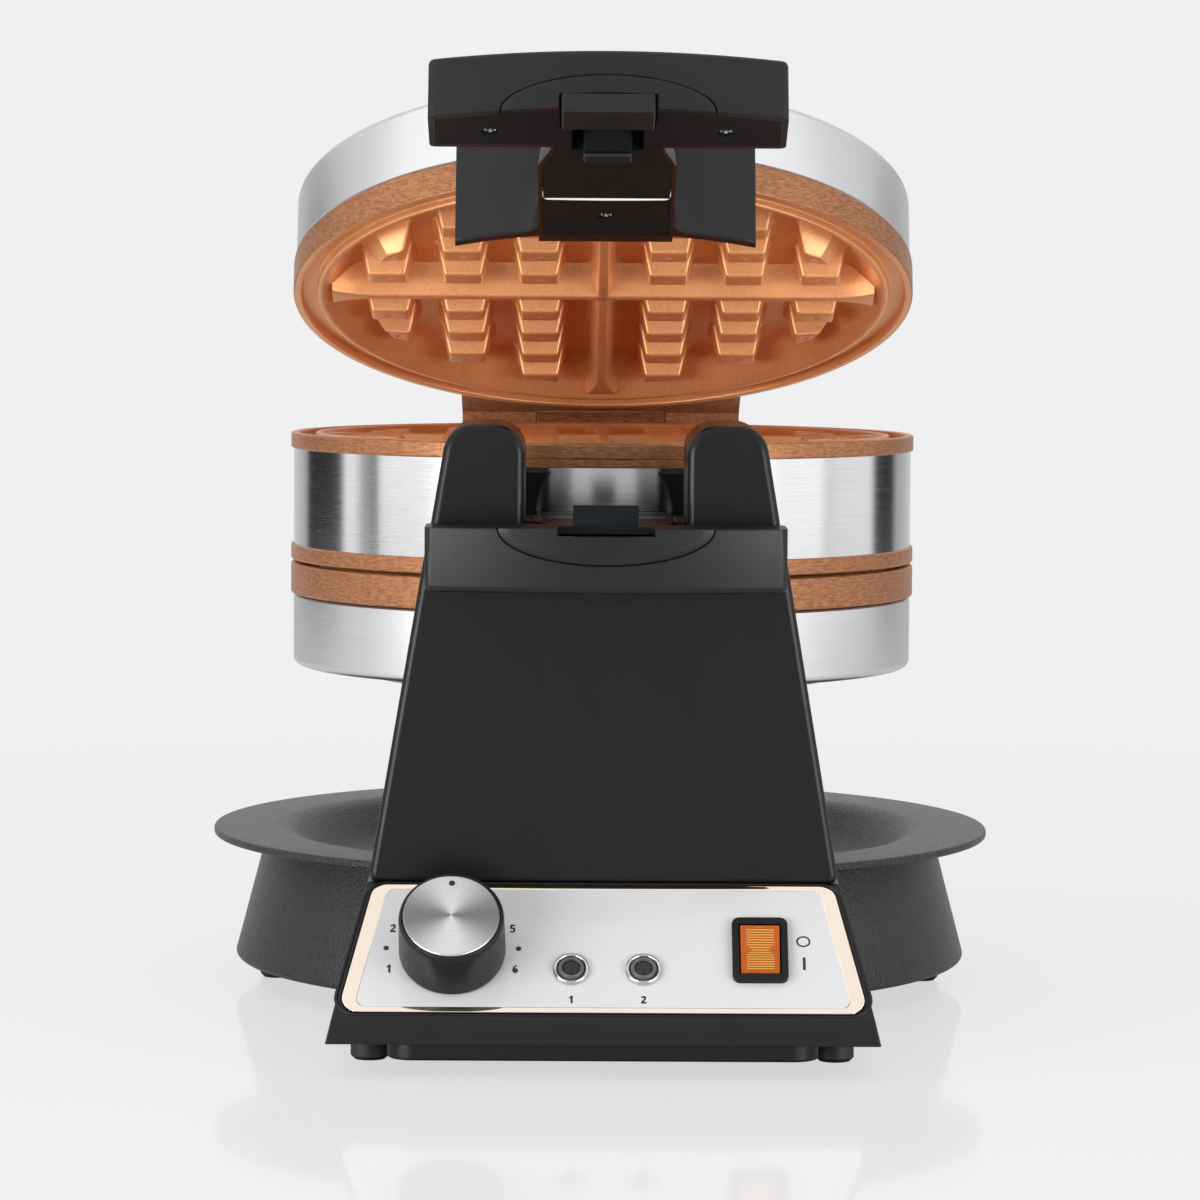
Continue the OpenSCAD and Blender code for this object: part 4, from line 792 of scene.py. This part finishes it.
def bar_section(x, latch):
    """Section of the handle bar at distance x from its middle, front to back and up: rounded front and
    top, the pocket of the inlaid piece, and the recesses of plate, button and catch."""
    ax = abs(x)
    front, back = -math.sqrt(BAR_FRONT_R ** 2 - x * x), -BAR_BACK
    low, pocket_half = 0.15, 32.9
    rise = 11.2 * math.sqrt(1 - (x / pocket_half) ** 2) if ax < pocket_half else 0.0
    sunk = 2.9 if ax < pocket_half else 0.0
    pocket = max(rise, low)
    wall = -math.sqrt(209.8 ** 2 - x * x)
    notch = (4.9 if latch else 2.4) if ax < 14.6 else low
    crown = arcs([(front + 2.0, BAR_H - 2.0, 90, 180)], 2.0, 5)
    face = [(front, max(pocket + min(0.3, rise), low + 0.3)),
            (front + 0.3, pocket + 0.02 if rise > low else low),
            (front + max(sunk, 0.32), pocket), (front + max(sunk, 0.34), min(notch, pocket))]
    if ax < 11.0 and latch:
        path = [(-203.9, 4.9), (-203.9, 9.7), (-197.1, 9.7), (-197.1, 9.7), (back, 9.7)]
    elif ax < 14.6 and latch:
        path = [(-203.9, 4.9), (-203.9, 4.9), (-197.1, 4.9), (-197.1, 3.15), (back, 3.15)]
    elif ax < 8.0:
        path = [(-197.1, notch), (-197.1, 3.15), (-189.0, 3.15), (-189.0, 3.7), (-191.0, 3.7), (-191.0, 6.8),
                (back, 6.8)]
    elif ax < 14.6:
        path = [(-197.1, notch), (-197.1, 3.15)] + [(-189.0, 3.15)] * 4 + [(back, 3.15)]
    elif ax < 16.3:
        path = [(wall, low), (wall, 3.15), (back, 3.15)]
    elif ax < 52.5:
        path = [(wall, low), (wall, 3.15), (-185.2, 3.15), (-185.2, low), (back, low)]
    else:
        path = [(front + 4.0, low), (-185.2, low), (back, low)]
    path += [path[-1]] * (7 - len(path))
    return np.concatenate([crown, face, path, arcs([(back - 2.0, BAR_H - 2.0, 0, 90)], 2.0, 5)])


def bar(latch):
    """The handle bar as sections joined along its length; the last 2 mm at each end shrink along a
    quarter circle."""
    half, soft = 54.7, 2.0
    breaks = [b + d for b in (8.0, 11.0, 14.6, 16.3, 52.5) for d in (-0.002, 0.002)]
    breaks += [32.9 - 0.02, 32.9 + 0.002]
    steps = np.unique(np.concatenate([np.arange(0.2, half - soft, 0.6), breaks]))
    rings = [np.insert(bar_section(x, latch), 0, x, axis=1) for x in np.concatenate([-steps[::-1], steps])]
    end = []
    for a in np.radians([0, 22, 45, 67, 84]):
        x = half - soft + soft * math.sin(a)
        inset = soft - soft * math.cos(a)
        ring = bar_section(x, latch)
        y0, y1 = ring[:, 0].min(), ring[:, 0].max()
        mid = (y0 + y1) / 2
        ring[:, 0] = mid + (ring[:, 0] - mid) * (1 - 2 * inset / (y1 - y0))
        ring[:, 1] = np.minimum(ring[:, 1], BAR_H - inset)
        end.append(np.insert(ring, 0, x, axis=1))
    return loft([ring * (-1, 1, 1) for ring in end[::-1]] + rings + end)


def neck(latch):
    """The round neck: half circles along its length, with the recess of the closing plate along its flat
    side and the catch's pocket at its outer end."""
    slot, deep = (11.0, 9.7) if latch else (8.0, 6.8)
    a = np.radians(np.linspace(0.5, 179.5, 41))
    rings = []
    for y, r in ((-107.8, NECK_R), (-112.9, NECK_R), (-113.0, NECK_R), (-140, NECK_R), (-168.2, NECK_R),
                 (-169.0, 21.42), (-169.9, 21.15), (-175.5, 19.4), (-180.98, 17.6), (-181.0, 17.6),
                 (-182.2, 17.45), (-184.5, 17.5)):
        up = 3.15 if y < -112.95 else 0.15
        top = deep if y < -180.99 else up
        arc = np.stack([r * np.cos(a), np.maximum(r * np.sin(a), 0.15)], -1)
        right = np.array([[slot, top], [slot, up], [r - 1.3, up], [r - 1.3, 0.15]])
        rings.append(np.insert(np.concatenate([arc, right[::-1] * (-1, 1), right]), 1, y, axis=1))
    return loft(rings)


def fan_angles(corner, side, middle):
    """Angles of a fan of rays over half a turn, with one on each of the two corners."""
    far = math.pi - corner
    return np.unique(np.concatenate([
        np.linspace(0, corner, side), np.linspace(corner, far, middle), np.linspace(far, math.pi, side)]))


def to_box(c, n, half, high):
    """Distance to the box of half width and height, along rays of cosine c and sine n."""
    return np.minimum(half / np.maximum(np.abs(c), 1e-6), high / np.maximum(n, 1e-6))


def wings():
    """The curved apron beside the neck: a slab between two round faces, on rays from the neck's axis. Its
    front swells to the neck by a quarter circle, and its rim is eased."""
    low, high, start, swell_r = 1.5, 39.7, 17.0, 7.0
    theta = fan_angles(math.atan2(high - low, 48.2), 22, 60)
    c, n = np.cos(theta)[:, None], np.maximum(np.sin(theta), 0.0)[:, None]
    edge = to_box(c, n, 48.6, high - low)
    t = np.array([[0.0, 0.06, 0.12, 0.18, 0.24, 0.3, 0.36, 0.42, 0.5, 0.6, 0.7, 0.8, 0.9]])
    reach = np.concatenate([start + (edge - 1.2 - start) * t, edge - 0.7, edge - 0.22, edge], 1)
    dip = np.zeros(reach.shape)
    dip[:, -2:] = 0.2, 0.7
    x, z = reach * c, low + reach * n
    gap = np.clip(swell_r - (np.sqrt(x * x + z * z) - NECK_R), 0.0, swell_r)
    swell = swell_r - np.sqrt(swell_r ** 2 - gap ** 2)
    z[[0, -1]] = low
    rim = np.zeros((len(theta), 1))
    rim[[0, -1]] = 0.6
    front = -np.sqrt(114.8 ** 2 - x * x) - swell + dip + rim
    back = -np.sqrt(110.8 ** 2 - x * x) - dip * 0.6 - rim * 0.5
    rings = np.concatenate([np.stack([x, front, z], -1), np.stack([x, back, z], -1)[:, ::-1]], 1)
    lower = rings[[0, -1]]
    lower[..., 2] += 0.6
    lower[..., 1] += np.where(np.arange(rings.shape[1]) < reach.shape[1], -0.6, 0.3)
    return loft(np.concatenate([rings[:1], lower[:1], rings[1:-1], lower[1:], rings[-1:]]))


def apron_block():
    """The apron's mounting block against the lid: a rectangle swept round the head's axis."""
    section = np.array([[107.1, 24.2], [107.1, 38.9], [107.7, 39.5], [113, 39.5], [113, 23.8], [107.5, 23.8]])
    return fanned(section, np.linspace(-0.445, 0.445, 40))


def inlay(low):
    """The inlaid front piece: half an ellipse on the bar's round face, from the button's notch outwards."""
    theta = fan_angles(math.atan2(low - 0.2, 14.7), 8, 80)
    c, n = np.cos(theta)[:, None], np.maximum(np.sin(theta), 0)[:, None]
    near = to_box(c, n, 14.7, low - 0.2)
    far = 1.0 / np.sqrt((c / 32.5) ** 2 + (n / 10.75) ** 2)
    t = np.array([0.2, 0.4, 0.6, 0.8])
    lip = near + 0.35
    reach = np.concatenate([near, lip, lip + (far - near - 0.9) * t, far - 0.35, far - 0.1, far], 1)
    dip = np.zeros(reach.shape)
    dip[:, 0], dip[:, -2], dip[:, -1] = 0.35, 0.1, 0.4
    x, z = reach * c, 0.2 + reach * n
    face = -np.sqrt(BAR_FRONT_R ** 2 - x * x)
    front, back = np.stack([x, face + dip, z], -1), np.stack([x, face + 2.5, z], -1)
    return loft(np.concatenate([front, back[:, ::-1]], 1))


def wire():
    """The spring wire across the neck, with both ends bent forward: circles along a path at one height."""
    half, y, r, height = 19.6, -142.0, 0.7, 0.86
    right = np.concatenate([arcs([(half - 1.6, y - 1.6, 90, 8)], 1.6, 7),
                            [[half + 0.5, y - 4.0], [half + 0.7, y - 6.4]]])
    flat = np.concatenate([right[::-1] * (-1, 1), [[-10.0, y + 0.3], [0.0, y + 0.5], [10.0, y + 0.3]], right])
    path = np.insert(flat, 2, height, axis=1)
    ahead = np.gradient(path, axis=0)
    ahead /= np.linalg.norm(ahead, axis=1, keepdims=True)
    up = np.array([0.0, 0.0, 1.0])
    a = np.linspace(0, 2 * np.pi, 12, endpoint=False)[None, :, None]
    return loft(path[:, None] + r * (np.cos(a) * np.cross(ahead, up)[:, None] + np.sin(a) * up))


def screw(x, y):
    """A screw head: a shallow dome with a cross-shaped recess, as a height on rings about its middle."""
    r = np.concatenate([np.linspace(0.02, 2.0, 14), [2.3, 2.5, 2.55, 2.55]])[:, None]
    a = np.linspace(0, 2 * np.pi, 72, endpoint=False)
    px, py = r * np.cos(a), r * np.sin(a)
    arm = np.minimum(np.abs(px), np.abs(py))
    z = 1.0 + 0.02 * r ** 2 + 0.9 * np.clip((0.55 - arm) / 0.2, 0, 1) * np.clip((1.75 - r) / 0.25, 0, 1)
    z[-2:] = 1.25
    z[-1:] = 2.4
    return loft(np.stack([px + x, py + y, z], -1))


def handle(latch):
    return [bar(latch), neck(latch), wings(), apron_block()]


SCREWS = [screw(x, y) for x, y in ((-36, -194), (36, -194), (0, -128))]
on_lids("handle_shell", "handle", "black_plastic", handle(True), handle(False))
on_lids("inlay_piece", "inlay", "black_plastic", [inlay(4.9)], [inlay(2.4)])
on_lids("spring_wire", "wire_clip", "drawn_wire", [wire()], [wire()])
on_lids("cross_screws", "handle_screws", "screw_steel", SCREWS, SCREWS)


# ---- tray ----

def tray():
    """The drip tray's section turned: brim, shoulder, sloping dish wall and floor, with soft corners."""
    rest, thick, depth, brim_r = 50.8, 2.6, 11.5, 132.9
    top = rest + thick
    floor = top - depth
    return turned(rounded_profile([
        (0, floor), (92, floor, 7), (108, top, 5), (brim_r, top, 1.1), (brim_r, rest, 1.0), (106, rest, 4),
        (93, floor - thick, 5), (0, floor - thick)], 6), 256)


make_piece("grained_drip_tray", [moved(tray(), (0, HEAD[1] * 1000, 0))], "tray_plastic", "tray", "drip_tray")


# ---- panel border, knob, lamps and switch ----

def panel_outline(side, end, r):
    """The panel's outline, drawn in by side at its sloping sides and by end at its top and bottom."""
    low, high, half = PANEL_LOW_HALF - side - r, PANEL_TOP_HALF - side - r, PANEL_LENGTH / 2 - end - r
    lean = math.degrees(math.atan2(low - high, 2 * half))
    return arcs(((low, -half, -90, lean), (high, half, lean, 90), (-high, half, 90, 180 - lean),
                 (-low, -half, 180 - lean, 270)), r, 6)


def framed(outer, inner, section, closed):
    """A frame between two outlines; its section is (share of the way inwards, height)."""
    flat = outer[:, None] + (inner - outer)[:, None] * section[None, :, :1]
    z = np.broadcast_to(section[None, :, 1:], (len(outer), len(section), 1))
    return np.concatenate([flat, z], -1).reshape(-1, 3), [grid_faces(len(outer), len(section), True, closed)]


def panel_ring(outer, inner, high, ease):
    """A flat ring: a low box in section, with eased upper edges."""
    low = -0.8
    return framed(outer, inner, np.array([
        (0, low), (0, high - ease), (0.03, high - ease * 0.3), (0.1, high), (0.9, high),
        (0.97, high - ease * 0.3), (1, high - ease), (1, low)]), True)


def panel_bead():
    """The console's raised bead round the panel: half a circle of section along the panel's outline."""
    a = np.radians(np.linspace(0, 180, 9))
    section = np.stack([np.cos(a), 0.5 * np.sin(a) - 0.05], -1)
    return framed(panel_outline(-1.9, -0.75, 6.2), panel_outline(-2.5, -1.15, 6.5), section, True)


def knob():
    """The smooth knob's section turned: a drum that narrows slightly, with a rim round its metal cap."""
    return turned(rounded_profile([
        (0, 0.85), (15.9, 0.85, 0.5), (16.3, 1.6, 0.6), (15.95, 18.6, 0.9), (15.3, 19.75, 0.6),
        (14.95, 19.7, 0.2), (14.85, 18.5), (0, 18.5)], 5), 160)


def knob_disc():
    return turned(rounded_profile([
        (0, 20.2), (14.3, 20.2, 0.3), (14.8, 19.8, 0.3), (14.8, 18.3), (0, 18.3)], 4))


def lamp_ring():
    """A lamp's ring: a low chrome collar with a rounded crest, and its sleeve into the panel."""
    return turned(rounded_profile([
        (4.5, -5), (4.5, 0.35), (5.55, 0.42, 0.1), (5.6, 1.2, 0.3), (5.2, 1.95, 0.4), (4.6, 1.9, 0.3),
        (4.15, 1.3, 0.2), (4.1, -5)], 3), 72, True)


def lamp_glass():
    """A lamp's glass: a shallow dome with a raised middle disc inside a ring groove, its edge marked 1."""
    profile = rounded_profile([
        (0, 2.2), (2.3, 2.15, 0.3), (2.5, 1.8, 0.2), (2.8, 1.8, 0.2), (3.0, 2.5, 0.3), (3.6, 2.35, 0.4),
        (4.05, 1.5, 0.3), (4.05, -4.8), (0, -4.8)], 4)
    return (*turned(profile, 64), [np.repeat((profile[1:, 0] > 2.75).astype(int), 64)])


def key():
    """The rocker key: its side view carried across; the top carries rows of zigzag ribs, marked 1, within
    an hourglass outline."""
    u = np.concatenate([[-6.0, -5.9, -5.6], np.linspace(-5.4, 5.4, 109), [5.6, 5.9, 6.0]])
    v = np.concatenate([[-8.2, -8.0], np.linspace(-7.7, 7.7, 197), [8.0, 8.2]])
    inset = np.concatenate([[0.5, 0.15, 0.0], np.zeros(109), [0.0, 0.15, 0.5]])
    top = np.interp(np.abs(v), [0, 3, 8, 8.2], [3.9, 4.3, 4.6, 4.3])
    hourglass = np.interp(np.abs(v), [0, 0.4, 1.5, 7.1, 7.3], [2.9, 2.9, 4.4, 4.4, 0.0])
    mask = np.clip((hourglass[None, :] - np.abs(u)[:, None]) / 0.25, 0, 1)
    fold = 0.17 * np.abs(((u[:, None] / 0.85) % 1.0) * 2 - 1)
    ribs = 0.24 * mask * np.clip(0.5 + 1.3 * np.cos(2 * np.pi * (v[None, :] / 0.82 + fold)), 0, 1)
    under = np.array([[8.3, 1.4], [2, -2], [-2, -2], [-8.3, 1.4]])
    side = np.concatenate([v, under[:, 0]])
    height = np.concatenate([top[None, :] + ribs - inset[:, None], np.tile(under[:, 1], (len(u), 1))], 1)
    across = np.repeat(u[:, None], len(side), 1)
    pts, faces = loft(np.stack([across, np.tile(side, (len(u), 1)), height], -1))
    marks = np.zeros((len(u) - 1, len(side)), int)
    marks[:, :len(v) - 1] = ribs[:-1, :-1] > 0.1
    return pts, faces, [marks.ravel(), 0, 0]


make_piece("panel_border", [
    on_panel(panel_ring(panel_outline(0, 0, 5), panel_outline(4.4, 1.9, 3), 0.52, 0.1)),
    (*on_panel(panel_ring(panel_outline(1.6, 1.7, 4), panel_outline(3.6, 3.5, 2), 0.37, 0.02)), 1)],
    ["trim_mirror", "panel_white"], "base", "panel_trim")
make_piece("console_bead", [on_panel(panel_bead())], "black_plastic", "base")
make_piece("smooth_knob", [on_panel(knob(), KNOB_X, -KNOB_DROP)], "knob_plastic", "knob", "browning_knob")
make_piece("spun_knob_disc", [on_panel(knob_disc(), KNOB_X, -KNOB_DROP)], "spun_aluminium", "knob",
           "knob_cap")
LAMPS = (LAMP_X - LAMP_PITCH / 2, LAMP_X + LAMP_PITCH / 2)
make_piece("lamp_rings", [on_panel(lamp_ring(), x, -LAMP_DROP) for x in LAMPS], "chrome_bezel", "base",
           "lamp_bezels")
make_piece("lamp_glasses", [on_panel(lamp_glass(), x, -LAMP_DROP) for x in LAMPS],
           ["lamp_lens", "lamp_edge"], "base", "lamp_lenses")
tipped_key = moved(turned_in_side_view(key(), ROCKER_TIP), (0, 0, -1.6))
make_piece("ribbed_rocker_key", [on_panel(tipped_key, SWITCH_X, -SWITCH_DROP)],
           ["amber_rocker", "amber_ribs"], "rocker_key", "rocker")


# ---- printed marks ----

# outlines of plain bold digits, as x and y in hundredths of their height
DIGITS = {
    "1": (8, 70, 34, 100, 50, 100, 50, 0, 27, 0, 27, 68, 16, 56),
    "2": (2, 74, 10, 92, 30, 100, 52, 93, 60, 72, 52, 50, 36, 32, 30, 21, 61, 21, 61, 0, 0, 0, 2, 20,
          16, 38, 32, 55, 37, 70, 30, 80, 23, 72),
    "3": (2, 100, 58, 100, 58, 82, 38, 60, 55, 52, 61, 32, 54, 10, 32, 0, 10, 4, 0, 20, 17, 28, 28, 18,
          38, 24, 38, 38, 28, 44, 14, 44, 12, 58, 32, 80, 2, 80),
    "4": (36, 100, 55, 100, 55, 40, 64, 40, 64, 22, 55, 22, 55, 0, 35, 0, 35, 22, 0, 22, 0, 40),
    "5": (8, 100, 56, 100, 56, 81, 27, 81, 26, 65, 44, 64, 58, 52, 60, 28, 48, 6, 26, 0, 6, 5, 0, 16, 12, 28,
          26, 19, 38, 26, 38, 42, 28, 48, 5, 46),
    "6": (50, 100, 24, 92, 6, 68, 0, 34, 10, 8, 31, 0, 53, 9, 62, 32, 54, 55, 36, 63, 25, 60, 33, 76, 56, 86),
}
PRINT_LOW, PRINT_HIGH = PANEL_FACE - 0.1, PANEL_FACE + 0.05


def digit(text, across, up, height):
    """A digit as a thin solid sheet on the panel, with its corners softened."""
    flat = np.array(DIGITS[text]).reshape(-1, 2) / 100.0 - (0.31, 0.5)
    corner = 0.0 if text == "4" else 0.05
    loop = rounded_profile([(*q, corner) for q in np.vstack([flat, flat[:1]])], 2)[:-1] * height
    return on_panel(loft([upright(loop, PRINT_LOW), upright(loop, PRINT_HIGH)]), across, up)


def dot(r, low=PRINT_LOW, high=PRINT_HIGH):
    return turned(rounded_profile([(0, high), (r, high, 0.02), (r, low), (0, low)], 2), 28)


def on_dial(step):
    """Place of a dial mark: 43.2 degrees a step from 108 degrees left of the top, on the dial's circle."""
    dial_r, angle = 20.2, math.radians(-108 + step * 43.2)
    return KNOB_X + dial_r * math.sin(angle), -KNOB_DROP + dial_r * math.cos(angle)


def block(half_x, half_y, low, high, r, edge):
    """A block with rounded upright edges of radius r and eased rims of radius edge."""
    steps = ((edge, low), (edge * 0.3, low + edge * 0.3), (0.0, low + edge), (0.0, high - edge),
             (edge * 0.3, high - edge * 0.3), (edge, high))
    return loft([upright(rounded_box_outline(half_x - e, half_y - e, max(r - e, 0.05)), z) for e, z in steps])


make_piece("dial_numerals", [digit(str(i + 1), *on_dial(i), 3.0) for i in range(6)], "print_black", "base",
           sharp=20)
make_piece("dial_dots", [on_panel(dot(0.85), *on_dial(i + 0.5)) for i in range(5)], "print_black", "base")
make_piece("lamp_numerals", [digit(text, x, -LAMP_DROP - 10.6, 2.8) for text, x in zip("12", LAMPS)],
           "print_black", "base", sharp=20)
make_piece("pointer_dot", [on_panel(dot(0.95, 20, 20.25), KNOB_X, -KNOB_DROP + 11.6)], "print_black", "knob")
circle_mark = turned(rounded_profile([(2.2, 0.3), (2.2, 0.45), (1.62, 0.45), (1.62, 0.3)], 1), 40, True)
make_piece("switch_circle_mark", [on_panel(scaled(circle_mark, (1.0, 0.92, 1.0)), SWITCH_X + 13.3, 2.9)],
           "print_black", "base")
bar_mark = block(0.42, 2.3, 0.3, 0.45, 0.05, 0.01)
make_piece("switch_bar_mark", [on_panel(bar_mark, SWITCH_X + 13.4, -5.2)], "print_black", "base")

bpy.context.scene.view_settings.view_transform = "Standard"
